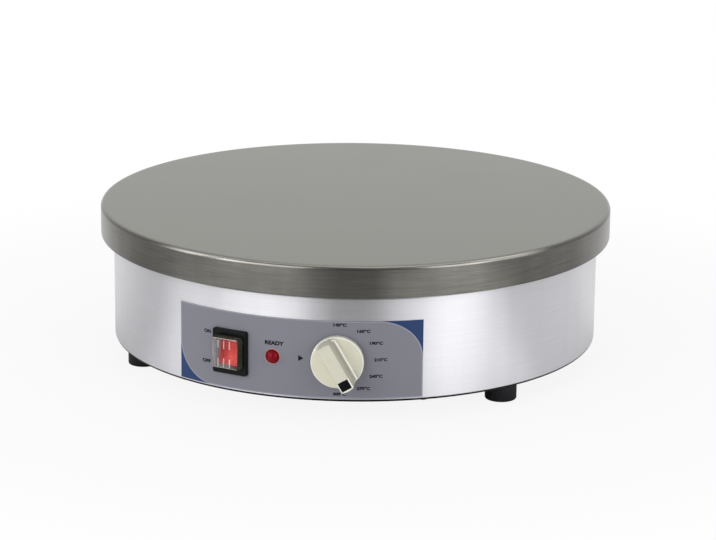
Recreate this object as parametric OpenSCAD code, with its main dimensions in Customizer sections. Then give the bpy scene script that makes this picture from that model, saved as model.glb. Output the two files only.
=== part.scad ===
// Electric crepe maker: a cast iron griddle on a round steel housing.
// Millimetres. Z is up from the floor, the controls face -Y, and X runs to
// the user's right. Angles named *_angle turn about Z from the front.

/* [Griddle] */
// Diameter of the cooking plate
griddle_d = 400; // [394:1:420]
// Height of the plate's rim
griddle_h = 24; // [22:0.5:30]
// Thickness of the plate between its faces
griddle_web = 12; // [10:0.5:14]
// Width of the rim that hangs below the plate
rim_w = 14; // [10:0.5:16]
// Fillet around the top edge
rim_fillet = 3; // [1:0.5:5]
// Air gap between housing and griddle
griddle_gap = 2; // [1:0.5:5]

/* [Housing] */
// Diameter of the steel band
housing_d = 380; // [372:1:388]
// Height of the steel band
housing_h = 80; // [76:1:100]
// Sheet thickness of the band
sheet = 1.2; // [0.8:0.1:1.5]
// Outer radius of the rolled bottom edge
bottom_roll = 2.5; // [2:0.1:4]
// Outer radius of the rolled top edge
top_roll = 2; // [1.8:0.1:3]
// Width of the flange under the base plate
flange_w = 14; // [12:0.5:15]
// Width of the lip at the top
lip_w = 7; // [4:0.5:9]

/* [Base] */
// Thickness of the base plate
base_t = 1.2; // [0.8:0.1:2]
// Length of one vent slot
vent_len = 34; // [20:1:38]
// Width of one vent slot
vent_w = 5; // [3:0.5:8]
// Number of vent slots in a ring
vent_count = 18; // [12:1:24]
// Mean radius of the vent ring
vent_r = 92; // [80:1:100]

/* [Feet] */
// Height of a foot below the housing
foot_h = 14; // [12:0.5:30]
// Diameter of a foot
foot_d = 24; // [20:0.5:28]
// Distance from the band to the foot's axis
foot_inset = 17.5; // [15.5:0.5:20]
// Angle from the front to the foot
foot_angle = 56; // [52:1:60]
// Turn of the four feet about the griddle's axis
foot_turn = -2.4; // [-4:0.1:2]
// Bevel at the bottom of a foot
foot_bevel = 1.5; // [0.5:0.25:3]

/* [Heater] */
// Diameter of the heating tube
tube_d = 8; // [6:0.5:8.5]
// Distance between the two loops
loop_pitch = 46; // [40:1:52]
// Radius of the bends down to the terminals
leg_bend = 12; // [10:0.5:14]
// Thickness of the clamp ring
clamp_t = 2; // [1.5:0.1:3]
// Thickness of the insulation board
insulation_t = 10; // [6:0.5:12]
// Thickness of the heat shield
shield_t = 1; // [0.6:0.1:1.5]
// Height of the heat shield's edge
shield_rim = 9; // [5:0.5:10]

/* [Supports] */
// Distance from the band to the support studs
support_inset = 25; // [24:0.5:28]
// Least distance from the griddle's rim to the support studs
rim_inset = 21; // [18:0.5:24]
// Angle from the front to the support studs
support_angle = 38; // [35:1:41]
// Diameter of a support stud
stud_d = 8; // [6:0.5:8]
// Outer diameter of a spacer sleeve
sleeve_d = 14; // [12:0.5:16]
// Diameter of the griddle's support bosses
boss_d = 22; // [18:0.5:24]

/* [Control label] */
// Half angle that the label covers
label_half_angle = 29.1; // [27:0.1:33]
// Height of the label
label_h = 59; // [58:0.5:68]
// Height of the label's lower edge on the band
label_z = 3; // [2:0.5:5]
// Thickness of the label
label_t = 0.4; // [0.2:0.1:0.8]

/* [Switch] */
// Angle of the switch
switch_angle = -14.8; // [-18:0.1:-14]
// Height of the switch on the band
switch_z = 31.5; // [28:0.1:34]
// Width of the switch frame
bezel_w = 28.7; // [28:0.1:31]
// Height of the switch frame
bezel_h = 34; // [33.4:0.1:36]
// Thickness of the switch frame
bezel_t = 3; // [2:0.1:4]
// Width of the rocker
rocker_w = 20.4; // [18:0.1:20.6]
// Radius of the rocker's ends about its pin
rocker_r = 13; // [12.4:0.1:13.2]
// Travel of the rocker in degrees
rocker_travel = 24; // [16:1:26]
// Height of the clear cover over the frame
cover_h = 6; // [5.6:0.1:9]
// Wall of the clear cover
cover_t = 0.8; // [0.5:0.1:1]
// Depth of the switch behind the label
switch_depth = 24; // [22:0.5:28]

/* [Lamp] */
// Angle of the lamp
lamp_angle = -4.6; // [-5:0.1:-3]
// Height of the lamp on the band
lamp_z = 32; // [30:0.1:34]
// Diameter of the lens
lens_d = 11; // [10.6:0.1:13]
// Height of the lens over the label
lens_h = 4.5; // [3:0.1:6]
// Diameter of the lamp's barrel
lamp_d = 9; // [7:0.1:9.4]
// Depth of the lamp behind the label
lamp_depth = 20; // [16:0.5:24]

/* [Knob] */
// Angle of the knob
knob_angle = 10.1; // [9:0.1:12]
// Height of the knob on the band
knob_z = 32.2; // [30:0.1:34]
// Diameter of the knob's disc
knob_d = 39; // [38.5:0.5:42]
// Height of the disc's face over the label
knob_face = 6.5; // [6:0.1:9]
// Height of the grip over the disc's face
grip_h = 16.5; // [14:0.5:20]
// Width of the grip
grip_w = 10; // [9.6:0.1:12]
// Width of the plinth beside the grip
plinth_w = 16.5; // [13:0.5:18]
// Height of the plinth
plinth_h = 4; // [2:0.5:6]
// Length of the pointer inlay
pointer_len = 7.2; // [4:0.1:8]
// Grip left between the inlay and the grip's end
pointer_edge = 1.6; // [1:0.1:3]
// Depth of the pointer inlay
pointer_t = 1; // [0.6:0.1:2]
// Clock angle that the pointer shows
pointer_clock = 150; // [0:1:180]

/* [Thermostat] */
// Width of the thermostat
thermo_w = 34; // [30:0.5:36]
// Height of the thermostat
thermo_h = 40; // [38:0.5:42]
// Depth of the thermostat's housing
thermo_depth = 26; // [22:0.5:30]
// Distance between its two screws
thermo_pitch = 28; // [27:0.5:28]
// Diameter of the spindle
spindle_d = 6; // [5:0.1:6]
// Length of the temperature bulb
bulb_len = 76; // [60:1:84]
// Diameter of the temperature bulb
bulb_d = 6; // [5:0.1:6.4]

/* [Cable gland] */
// Height of the gland on the band
gland_z = 22; // [18:0.5:30]
// Diameter of the gland's thread
gland_d = 20; // [19:0.5:22]
// Diameter of the cable that it takes
cable_d = 9; // [7:0.5:9.5]
// Width across flats of the gland
gland_af = 24; // [23.5:0.5:28]
// Length of the gland's cap
gland_cap_len = 15.5; // [14:0.5:20]

/* [Hidden] */
$fn = 72;
drum_fn = 256; // for the large drums that thin pieces are cut to

grid = 4;         // step that the wires and the capillary are laid out on

// Clearances
fit = 0.05;       // threads, seats and running fits
slip = 0.3;       // free holes and free sides
cut = 1;          // how far a cutter passes a face
hole_reach = 12;  // how far a panel hole's cutter goes in from the label

// Bought-in fasteners. Hexagons are given across their flats.
m8_nut_af = 13;
m8_nut_h = 4;
m8_washer_d = 16;
m8_washer_t = 1.6;
m6_d = 6;
m6_head_af = 10;
m6_head_h = 4;
m6_washer_d = 12;
m6_washer_t = 1;
m5_d = 5;
m5_head_d = 9.5;
m5_head_h = 3;
m5_nut_af = 8;
m5_nut_h = 4;
m4_d = 4;
m4_head_d = 7.4;
m4_head_h = 2;
m4_nut_af = 7;
m4_nut_h = 3.2;
m3_d = 3;
m3_head_d = 5.6;
m3_head_h = 1.8;
thread_out = 2;   // thread that shows past a nut
stud_out = 0.5;   // the same on the support studs, under the base
blade_w = 6.3;    // tab terminals of the switch and the thermostat
blade_t = 0.8;
blade_len = 9;

// Heights, from the floor up
head_gap = 1;     // clamp screw's head to the insulation
boss_lift = 1;    // support boss above the griddle's lower edge
housing_bottom = foot_h;
housing_top = housing_bottom + housing_h;
flange_top = housing_bottom + sheet;
base_top = flange_top + base_t;
griddle_bottom = housing_top + griddle_gap;
griddle_top = griddle_bottom + griddle_h;
ceiling_z = griddle_top - griddle_web;
element_z = ceiling_z - fit - tube_d / 2;
clamp_top = element_z - tube_d / 2 - fit;
clamp_bottom = clamp_top - clamp_t;
clamp_head_top = clamp_bottom - m6_washer_t;
clamp_head_bottom = clamp_head_top - m6_head_h;
insulation_top = clamp_head_bottom - head_gap;
insulation_bottom = insulation_top - insulation_t;
shield_bottom = insulation_bottom - shield_t;
support_boss_z = griddle_bottom + boss_lift;
switch_h0 = housing_bottom + switch_z;
lamp_h0 = housing_bottom + lamp_z;
knob_h0 = housing_bottom + knob_z;
gland_h0 = housing_bottom + gland_z;

// Radii
griddle_r = griddle_d / 2;
cavity_r = griddle_r - rim_w;
housing_r = housing_d / 2;
inner_r = housing_r - sheet;
label_r = housing_r + label_t;
support_r = min(housing_r - support_inset, cavity_r - rim_inset);
foot_pos_r = housing_r - foot_inset;
base_r = housing_r - max(bottom_roll, sheet) - slip;
flange_r = housing_r - flange_w;
base_screw_r = housing_r - flange_w / 2;
ring_gap = 2;     // support boss to clamp ring, and clamp ring to outer loop
clamp_margin = 14;
shield_gap = 10;
clamp_r = support_r - boss_d / 2 - ring_gap;
outer_loop_r = clamp_r - tube_d / 2 - ring_gap;
inner_loop_r = outer_loop_r - loop_pitch;
clamp_inner_r = inner_loop_r - tube_d / 2 - clamp_margin;
clamp_screw_r = (outer_loop_r + inner_loop_r) / 2;
shield_r = inner_r - shield_gap;
insulation_r = shield_r - shield_t - slip;

// Griddle
cavity_bevel = 2;
bottom_fillet = 1;
top_skin = 3;           // iron left above a threaded hole
stud_in = 8;            // stud above the cavity's ceiling
clamp_boss_d = 14;
clamp_boss_gap = 1;     // boss above the clamp ring
clamp_thread = 9;       // thread in the plate
screw_count = 6;        // clamp screws, base screws and centre holes
clamp_angle = 30;       // first clamp screw from +X
boss_root = 1;          // boss inside the plate
boss_bottom_z = clamp_top + clamp_boss_gap;
stud_top_z = min(ceiling_z + stud_in, griddle_top - top_skin);
clamp_screw_top_z = min(boss_bottom_z + clamp_thread, griddle_top - top_skin) - slip;

// Heater: the loops start at leg_angle from +X and run round the front
leg_angle = 196;
loop_angle = 328;
leg_out = 20;           // tube below the heat shield
pin_d = 3;
pin_len = 8;
leg_bottom = shield_bottom - leg_out;
leg_clear = 2;
leg_hole_r = tube_d / 2 + leg_clear;
shield_bevel = 1.5;

// Base
foot_clear = 1;         // flange's notch round a foot
foot_screw_z = 3;       // foot screw's head above the floor
foot_recess = m5_head_h + foot_screw_z;
centre_hole_r = 3;
centre_gap = 16;
centre_ring_r = vent_r - vent_len / 2 - centre_gap;
nut_top = flange_top - m8_washer_t;
nut_bottom = nut_top - m8_nut_h;

// Switch
hole_corner = 1;
well_w = rocker_w + 2 * slip;
well_r = rocker_r + slip;
body_wall = 1.4;
body_w = well_w + 2 * body_wall;
body_h = 2 * (well_r + body_wall);
rocker_pin_w = -3;                  // pin behind the label
face_drop = 0.6;
rocker_face = bezel_t - face_drop;  // pressed face below the frame
rocker_depth = 6;
rocker_back = rocker_pin_w - rocker_depth;
rocker_pin_r = 1.5;
rocker_pin_out = 0.9;
bezel_corner = 1.5;
tab_u = 5;
tab_v = 8;
cover_side = 1.2;                   // cover past the well, at each side
cover_end = 1.3;                    // the same at top and bottom
cover_w = well_w + 2 * cover_side;
cover_len = 2 * (well_r + cover_end);
cover_step = 1.2;                   // height of the cover's stepped edge
cover_in = 0.8;                     // its inset
cover_corner = 2;

// Lamp
lens_ball = (pow(lens_d / 2, 2) + lens_h * lens_h) / (2 * lens_h);
lens_foot = 0.6;
lamp_wall = 1;
lamp_nut_af = 14;
lamp_nut_h = 3;
bulb_glass_r = 1.6;

// Thermostat
plate_t = 1.5;
plate_edge = 1;                     // plate past the thermostat, above and below
bush_wall = 1.9;
bush_r = spindle_d / 2 + bush_wall;
bush_top = 0.5;
spindle_in = 9;                     // spindle inside the thermostat
spindle_grip = 8;                   // spindle past the disc's face
spindle_top = knob_face + spindle_grip;
flat_depth = 1.4;
spindle_flat = spindle_d / 2 - flat_depth;
flat_start = 1.8;
thermo_tab = 8;
screw_in = 3;
plate_corner = 1.5;
thermo_corner = 2;

// Knob
knob_back = 0.8;
knob_wall = 1.6;
knob_face_t = 2.4;
knob_edge = 1;
knob_back_edge = 0.4;
hub_wall = 4;
hub_r = spindle_d / 2 + hub_wall;
spring_t = 0.5;
spring_w = 3.4;
grip_inset = 0.5;
plinth_inset = 0.6;
grip_end_r = knob_d / 2 - grip_inset;
plinth_end_r = knob_d / 2 - plinth_inset;
pointer_border = 1;

// Sensing bulb, on a chord inside the inner loop
bulb_inset = 40;
bulb_y = bulb_inset - inner_loop_r;
bulb_z = ceiling_z - fit - bulb_d / 2;
bulb_end_x = bulb_len / 2;
bulb_clip_t = 1.5;
bulb_clip_w = 14;
bulb_boss_d = 9;
bulb_boss_gap = 8.5;
bulb_boss_y = bulb_d / 2 + bulb_boss_gap;
bulb_boss_z = bulb_z - bulb_d / 2 + fit;
clip_top = bulb_boss_z - 2 * fit;
clip_bottom = clip_top - bulb_clip_t;
capillary_d = 2;
capillary_clear = 2;
capillary_x = bulb_end_x + 4 * grid; // where it goes down

// Terminal block and earth stud
block_angle = -163;
block_inset = 22;
block_r = support_r - block_inset;
block_w = 42;
block_depth = 18;
block_h = 16;
block_pitch = 12;
block_bore_r = 1.6;
block_recess = 3;
block_face = block_r - block_depth / 2;
block_cap = 6;                      // bores below its top
block_z = base_top + block_h - block_cap;
wire_in = 6;                        // wire inside a bore
earth_angle = 166;
earth_inset = 8;
earth_r = block_r - earth_inset;
earth_stud_out = 14;
eye_z = base_top + m4_nut_h;
eye_t = 1;
eye_r = 4;
eye_tail = 14;
eye_w = 3;

// Cable gland, measured outwards from the band
gland_seal_t = 1.5;
gland_hex_h = 5;
gland_hex_top = gland_seal_t + gland_hex_h;
gland_cap_end = gland_hex_top + gland_cap_len;
gland_barrel_in = 9;
gland_end_wall = 5;
gland_barrel_end = gland_cap_end - gland_end_wall;
gland_cone_h = 4;
gland_cone_in = 3;
gland_nut_h = 5;
grommet_wall = 1.8;
grommet_r = cable_d / 2 + grommet_wall;
bore_slack = 0.1;
body_slack = 0.6;
cable_bore_r = cable_d / 2 + bore_slack;
cable_clear_r = cable_bore_r + body_slack;
grommet_len = 9;
grommet_lift = 1.2;
grommet_start = gland_hex_top + grommet_lift;

// Wiring
wire_r = 1.3;
lead_r = 0.9;
lead_u = 1.8;                       // lamp leads beside the lamp's axis
lane_inset = 19;
lane_r = support_r - lane_inset;    // radius of the outer lane
lane_gap = 7;                       // from one lane to the next
block_lane_angle = block_angle + 20; // where the lanes leave the block
outer_leg_angle = -62;              // where the wires turn to the heater's legs
inner_leg_angle = -68;
inner_lane_angle = -35;
lane_z = base_top + grid;
tab_end = -switch_depth - blade_len - fit;

// ---------- points, curves and plain shapes ----------

function polar(r, angle, z = 0) = [r * sin(angle), -r * cos(angle), z];

// A point u to the right, v up and w out from a place on the label
function on_wall(angle, z0, u, v, w) =
    polar(label_r + w, angle, z0 + v) + u * [cos(angle), sin(angle), 0];

function arc(x, y, r, from, to, n = 5) =
    [for (i = [0:n]) let (a = from + (to - from) * i / n) [x + r * cos(a), y + r * sin(a)]];

function lane(r, from, to, z, n) = [for (i = [0:n]) polar(r, from + (to - from) * i / n, z)];

// How far a flat piece of that width sits behind the label, on the band's inside
function behind_band(width) = label_r - inner_r * cos(asin(width / 2 / inner_r)) + fit;

function unit(v) = v / norm(v);

function between(a, b, c, d, t) =
    0.5 * (2 * b + (c - a) * t + (2 * a - 5 * b + 4 * c - d) * t * t
        + (3 * b - a - 3 * c + d) * t * t * t);

// A curve through the points, with its first and last stretch straight
function smooth(p, n = 3) = concat(
    [p[0]],
    [for (i = [1:len(p) - 3]) for (s = [0:n - 1])
        between(p[i - 1], p[i], p[i + 1], p[i + 2], s / n)],
    [p[len(p) - 2], p[len(p) - 1]]);

function tangent(p, i) =
    i == 0 ? unit(p[1] - p[0])
    : i == len(p) - 1 ? unit(p[i] - p[i - 1])
    : unit(unit(p[i + 1] - p[i]) + unit(p[i] - p[i - 1]));

function first_side(t) = unit(abs(t[2]) < 0.9 ? cross(t, [0, 0, 1]) : cross(t, [1, 0, 0]));

function carried(side, t) = unit(side - (side * t) * t);

function sides_along(t, i, acc) =
    i >= len(t) ? acc : sides_along(t, i + 1, concat(acc, [carried(acc[i - 1], t[i])]));

// A round wire of radius r along the points p
module wire(p, r, n = 8) {
    t = [for (i = [0:len(p) - 1]) tangent(p, i)];
    side = sides_along(t, 1, [first_side(t[0])]);
    points = [for (i = [0:len(p) - 1]) for (k = [0:n - 1]) let (a = 360 * k / n)
        p[i] + r * (cos(a) * side[i] + sin(a) * cross(t[i], side[i]))];
    last = (len(p) - 1) * n;
    start_cap = [for (k = [0:n - 1]) k];
    end_cap = [for (k = [n - 1:-1:0]) last + k];
    walls = [for (i = [0:len(p) - 2]) for (k = [0:n - 1])
        let (a = i * n + k, b = i * n + (k + 1) % n) [a, a + n, b + n, b]];
    polyhedron(points = points, faces = concat([start_cap], [end_cap], walls), convexity = 8);
}

module at_wall(angle, z0, r = label_r)
    rotate([0, 0, angle]) translate([0, -r, z0]) rotate([90, 0, 0]) children();

module ring_of(n, r, start = 0)
    for (i = [0:n - 1]) rotate([0, 0, start + 360 * i / n]) translate([r, 0, 0]) children();

module at_four(r, angle)
    for (a = [angle, 180 - angle, 180 + angle, -angle])
        rotate([0, 0, a]) translate([0, -r, 0]) children();

module at_feet() rotate([0, 0, foot_turn]) at_four(foot_pos_r, foot_angle) children();

module up_and_down(pitch)
    for (s = [-1, 1]) translate([0, s * pitch / 2, 0]) children();

module rod(r, from, to) translate([0, 0, from]) cylinder(r = r, h = to - from);

module drill(r, from, to) rod(r, from - cut, to + cut);

module pipe(outer, inner, from, to) difference() {
    rod(outer, from, to);
    drill(inner, from, to);
}

module hex(af, from, to)
    translate([0, 0, from]) cylinder(r = af / sqrt(3), h = to - from, $fn = 6);

module hex_nut(af, r, from, to) difference() {
    hex(af, from, to);
    drill(r, from, to);
}

module rounded(w, h, r) polygon(concat(
    arc(w / 2 - r, h / 2 - r, r, 0, 90),
    arc(r - w / 2, h / 2 - r, r, 90, 180),
    arc(r - w / 2, r - h / 2, r, 180, 270),
    arc(w / 2 - r, r - h / 2, r, 270, 360)));

module slab(w, h, r, from, to)
    translate([0, 0, from]) linear_extrude(to - from) rounded(w, h, r);

module drum(r) translate([0, 0, housing_bottom - cut])
    cylinder(r = r, h = housing_h + 2 * cut, $fn = drum_fn);

// ---------- griddle ----------

module at_clamp_screws() ring_of(screw_count, clamp_screw_r, clamp_angle) children();

module at_bulb_screws()
    for (s = [-1, 1]) translate([0, bulb_y + s * bulb_boss_y, 0]) children();

module griddle_disc() rotate_extrude() polygon(concat(
    [[0, ceiling_z], [cavity_r - cavity_bevel, ceiling_z]],
    [[cavity_r, ceiling_z - cavity_bevel], [cavity_r, griddle_bottom]],
    arc(griddle_r - bottom_fillet, griddle_bottom + bottom_fillet, bottom_fillet, -90, 0, 2),
    arc(griddle_r - rim_fillet, griddle_top - rim_fillet, rim_fillet, 0, 90, 6),
    [[0, griddle_top]]));

module griddle_plate() color("dimgray") difference() {
    union() {
        griddle_disc();
        at_four(support_r, support_angle) rod(boss_d / 2, support_boss_z, ceiling_z + boss_root);
        at_clamp_screws() rod(clamp_boss_d / 2, boss_bottom_z, ceiling_z + boss_root);
        at_bulb_screws() rod(bulb_boss_d / 2, bulb_boss_z, ceiling_z + boss_root);
    }
    at_four(support_r, support_angle) rod(stud_d / 2 + fit, support_boss_z - cut, stud_top_z + fit);
    at_clamp_screws() rod(m6_d / 2 + fit, boss_bottom_z - cut, clamp_screw_top_z + slip);
    at_bulb_screws() rod(m3_d / 2 + fit, bulb_boss_z - cut, ceiling_z + boss_root);
}

// ---------- heater ----------

module tube_arc(r, angle) rotate_extrude(angle = angle) translate([r, 0]) circle(r = tube_d / 2);

module at_loop_ends()
    for (r = [outer_loop_r, inner_loop_r])
        rotate([0, 0, leg_angle]) translate([r, 0, 0]) children();

module at_legs() at_loop_ends() translate([0, -leg_bend, 0]) children();

function leg_point(r, z) = [
    r * cos(leg_angle) + leg_bend * sin(leg_angle),
    r * sin(leg_angle) - leg_bend * cos(leg_angle),
    z];

module heating_element() color("slategray") {
    translate([0, 0, element_z]) {
        rotate([0, 0, leg_angle]) {
            for (r = [outer_loop_r, inner_loop_r]) tube_arc(r, loop_angle);
            rotate([0, 0, loop_angle]) translate([clamp_screw_r, 0, 0]) tube_arc(loop_pitch / 2, 180);
        }
        at_loop_ends() translate([0, 0, -leg_bend]) rotate([0, 0, -90]) rotate([90, 0, 0])
            tube_arc(leg_bend, 90);
    }
    at_legs() rod(tube_d / 2, leg_bottom, element_z - leg_bend);
}

module element_pins() color("silver") at_legs() rod(pin_d / 2, leg_bottom - pin_len, leg_bottom);

module clamp_ring() color("gainsboro") difference() {
    pipe(clamp_r, clamp_inner_r, clamp_bottom, clamp_top);
    at_clamp_screws() drill(m6_d / 2 + slip, clamp_bottom, clamp_top);
    at_loop_ends() translate([-leg_hole_r, -leg_bend - leg_hole_r, clamp_bottom - cut])
        cube([2 * leg_hole_r, leg_bend + leg_hole_r, clamp_t + 2 * cut]);
}

module clamp_screws() color("silver") at_clamp_screws() {
    rod(m6_d / 2, clamp_head_top, clamp_screw_top_z);
    hex(m6_head_af, clamp_head_bottom, clamp_head_top);
}

module clamp_washers() color("silver") at_clamp_screws()
    pipe(m6_washer_d / 2, m6_d / 2 + fit, clamp_head_top, clamp_bottom);

// Holes that the legs and the capillary take through the board and the shield
module heater_holes(from, to) {
    at_legs() drill(leg_hole_r, from, to);
    translate([capillary_x, bulb_y, 0]) drill(capillary_d / 2 + capillary_clear, from, to);
}

module insulation_disc() color("ivory") difference() {
    rod(insulation_r, insulation_bottom, insulation_top);
    at_four(support_r, support_angle) drill(sleeve_d / 2 + slip, insulation_bottom, insulation_top);
    heater_holes(insulation_bottom, insulation_top);
}

module heat_shield() color("lightsteelblue") difference() {
    rotate_extrude() polygon([
        [0, shield_bottom], [shield_r - shield_bevel, shield_bottom],
        [shield_r, shield_bottom + shield_bevel], [shield_r, insulation_bottom + shield_rim],
        [shield_r - shield_t, insulation_bottom + shield_rim],
        [shield_r - shield_t, insulation_bottom], [0, insulation_bottom]]);
    at_four(support_r, support_angle) drill(stud_d / 2 + slip, shield_bottom, insulation_bottom);
    heater_holes(shield_bottom, insulation_bottom);
}

// ---------- supports ----------

module support_studs() color("silver") at_four(support_r, support_angle)
    rod(stud_d / 2, nut_bottom - stud_out, stud_top_z);

module upper_sleeves() color("lightgray") at_four(support_r, support_angle)
    pipe(sleeve_d / 2, stud_d / 2 + fit, insulation_bottom, support_boss_z);

module lower_sleeves() color("lightgray") at_four(support_r, support_angle)
    pipe(sleeve_d / 2, stud_d / 2 + fit, base_top, shield_bottom);

module support_washers() color("silver") at_four(support_r, support_angle)
    pipe(m8_washer_d / 2, stud_d / 2 + fit, nut_top, flange_top);

module support_nuts() color("silver") at_four(support_r, support_angle)
    hex_nut(m8_nut_af, stud_d / 2 + fit, nut_bottom, nut_top);

// ---------- housing and base ----------

// Holes for the switch, the lamp and the thermostat, in the band and the label
module panel_holes() {
    at_wall(switch_angle, switch_h0)
        slab(body_w + 2 * slip, body_h + 2 * slip, hole_corner, -hole_reach, cut);
    at_wall(lamp_angle, lamp_h0) rod(lamp_d / 2 + slip, -hole_reach, cut);
    at_wall(knob_angle, knob_h0) {
        rod(bush_r + slip, -hole_reach, cut);
        up_and_down(thermo_pitch) rod(m4_d / 2 + fit, -hole_reach, cut);
    }
}

module band() rotate_extrude() polygon(concat(
    [[flange_r, housing_bottom]],
    arc(housing_r - bottom_roll, housing_bottom + bottom_roll, bottom_roll, -90, 0),
    arc(housing_r - top_roll, housing_top - top_roll, top_roll, 0, 90),
    [[housing_r - lip_w, housing_top], [housing_r - lip_w, housing_top - sheet]],
    arc(housing_r - top_roll, housing_top - top_roll, top_roll - sheet, 90, 0, 3),
    arc(housing_r - bottom_roll, housing_bottom + bottom_roll, bottom_roll - sheet, 0, -90, 3),
    [[flange_r, flange_top]]));

module at_base_screws() ring_of(screw_count, base_screw_r) children();

module housing_shell() color("whitesmoke") difference() {
    band();
    at_feet() drill(foot_d / 2 + foot_clear, housing_bottom, flange_top);
    at_base_screws() drill(m4_d / 2 + slip, housing_bottom, flange_top);
    panel_holes();
    at_gland() rod(gland_d / 2 + fit, -hole_reach, cut);
}

module base_plate() color("gainsboro") difference() {
    rod(base_r, flange_top, base_top);
    at_four(support_r, support_angle) drill(stud_d / 2 + fit, flange_top, base_top);
    at_feet() drill(m5_d / 2 + fit, flange_top, base_top);
    at_base_screws() drill(m4_d / 2 + fit, flange_top, base_top);
    ring_of(vent_count, vent_r)
        slab(vent_len, vent_w, vent_w / 2 - fit, flange_top - cut, base_top + cut);
    ring_of(screw_count, centre_ring_r) drill(centre_hole_r, flange_top, base_top);
    at_block_screws() drill(m3_d / 2 + fit, flange_top, base_top);
    at_earth() drill(m4_d / 2 + fit, flange_top, base_top);
}

module base_screws() color("silver") at_base_screws() {
    rod(m4_d / 2, housing_bottom, base_top + m4_nut_h + thread_out);
    rod(m4_head_d / 2, housing_bottom - m4_head_h, housing_bottom);
}

module base_nuts() color("silver") at_base_screws()
    hex_nut(m4_nut_af, m4_d / 2 + fit, base_top, base_top + m4_nut_h);

module feet() color("#202020") at_feet() rotate_extrude() polygon([
    [m5_d / 2 + fit, flange_top], [m5_d / 2 + fit, foot_recess],
    [m5_head_d / 2 + slip, foot_recess], [m5_head_d / 2 + slip, 0],
    [foot_d / 2 - foot_bevel, 0], [foot_d / 2, foot_bevel], [foot_d / 2, flange_top]]);

module foot_screws() color("silver") at_feet() {
    rod(m5_head_d / 2, foot_recess - m5_head_h, foot_recess);
    rod(m5_d / 2, foot_recess, base_top + m5_nut_h + thread_out);
}

module foot_nuts() color("silver") at_feet()
    hex_nut(m5_nut_af, m5_d / 2 + fit, base_top, base_top + m5_nut_h);

// ---------- label and switch ----------

module control_label() color("slategray") difference() {
    translate([0, 0, housing_bottom + label_z]) rotate([0, 0, -90 - label_half_angle])
        rotate_extrude(angle = 2 * label_half_angle, $fn = drum_fn)
            translate([housing_r + fit / 2, 0]) square([label_t - fit / 2, label_h]);
    panel_holes();
}

module at_switch() at_wall(switch_angle, switch_h0) children();

// A round bar across the switch on the rocker's axis
module across(r, length) translate([0, 0, rocker_pin_w]) rotate([0, 90, 0])
    cylinder(r = r, h = length, center = true);

module switch_housing() color("#2a2a2a") difference() {
    union() {
        difference() {
            at_switch() slab(bezel_w, bezel_h, bezel_corner, -2 * cut, bezel_t);
            drum(label_r);
        }
        at_switch() slab(body_w, body_h, 2 * slip, -switch_depth, cut);
    }
    at_switch() {
        across(well_r, well_w);
        translate([-well_w / 2, -well_r, rocker_pin_w])
            cube([well_w, 2 * well_r, bezel_t - rocker_pin_w + cut]);
        across(rocker_pin_r + fit, rocker_w + 2 * (rocker_pin_out + fit));
    }
}

// Side view of the rocker: up along X, outwards along Y
module rocker_side() intersection() {
    translate([0, rocker_pin_w]) circle(r = rocker_r);
    polygon([
        [rocker_r + cut, rocker_face], [0, rocker_face],
        [-rocker_r - cut, rocker_face + (rocker_r + cut) * tan(rocker_travel)],
        [-rocker_r - cut, rocker_back], [rocker_r + cut, rocker_back]]);
}

module switch_rocker() color("crimson") at_switch() {
    multmatrix([[0, 0, 1, -rocker_w / 2], [1, 0, 0, 0], [0, 1, 0, 0], [0, 0, 0, 1]])
        linear_extrude(rocker_w) rocker_side();
    across(rocker_pin_r, rocker_w + 2 * rocker_pin_out);
}

module cover_block(inset, from, top) {
    step = top - cover_step;
    corner = cover_corner - inset / 2;
    slab(cover_w - 2 * inset, cover_len - 2 * inset, corner, from, step);
    slab(cover_w - 2 * (inset + cover_in), cover_len - 2 * (inset + cover_in), corner, step - fit, top);
}

module switch_cover() color("lightblue", 0.5) at_switch() difference() {
    cover_block(0, bezel_t, bezel_t + cover_h);
    cover_block(cover_t, bezel_t - cut, bezel_t + cover_h - cover_t);
}

module switch_terminals() color("gold") at_switch()
    for (u = [-tab_u, tab_u]) for (v = [-tab_v, tab_v])
        translate([u - blade_t / 2, v - blade_w / 2, -switch_depth - blade_len])
            cube([blade_t, blade_w, blade_len]);

// ---------- lamp ----------

module at_lamp() at_wall(lamp_angle, lamp_h0) children();

module lamp_lens() color("red") difference() {
    at_lamp() rotate_extrude() polygon(concat(
        [[0, -lens_foot], [lens_d / 2, -lens_foot]],
        arc(0, lens_h - lens_ball, lens_ball, asin(1 - lens_h / lens_ball), 90, 8)));
    drum(label_r);
    at_lamp() rod(lamp_d / 2 - lamp_wall, -2 * cut, lens_h / 2);
}

module lamp_body() color("dimgray") at_lamp() {
    difference() {
        rod(lamp_d / 2, -lamp_depth, -slip);
        rod(lamp_d / 2 - lamp_wall, 3 * lamp_wall - lamp_depth, cut);
    }
    rod(bulb_glass_r, 2 * lamp_wall - lamp_depth, 0);
}

lamp_nut_w = -behind_band(lamp_nut_af * 2 / sqrt(3));

module lamp_nut() color("dimgray") at_lamp()
    hex_nut(lamp_nut_af, lamp_d / 2 + fit, lamp_nut_w - lamp_nut_h, lamp_nut_w);

// ---------- thermostat and knob ----------

plate_w = -behind_band(thermo_w);
thermo_front = plate_w - plate_t;
thermo_back = thermo_front - thermo_depth;
thermo_tab_end = thermo_back - blade_len - fit;

module at_dial() at_wall(knob_angle, knob_h0) children();

module in_knob() at_dial() rotate([0, 0, -pointer_clock]) children();

module thermostat_plate() color("silver") at_dial() difference() {
    union() {
        slab(thermo_w, thermo_h + 2 * plate_edge, plate_corner, thermo_front, plate_w);
        rod(bush_r, thermo_front, bush_top);
    }
    drill(spindle_d / 2 + fit, thermo_front, bush_top);
    up_and_down(thermo_pitch) drill(m4_d / 2 + fit, thermo_front, 0);
}

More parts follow.
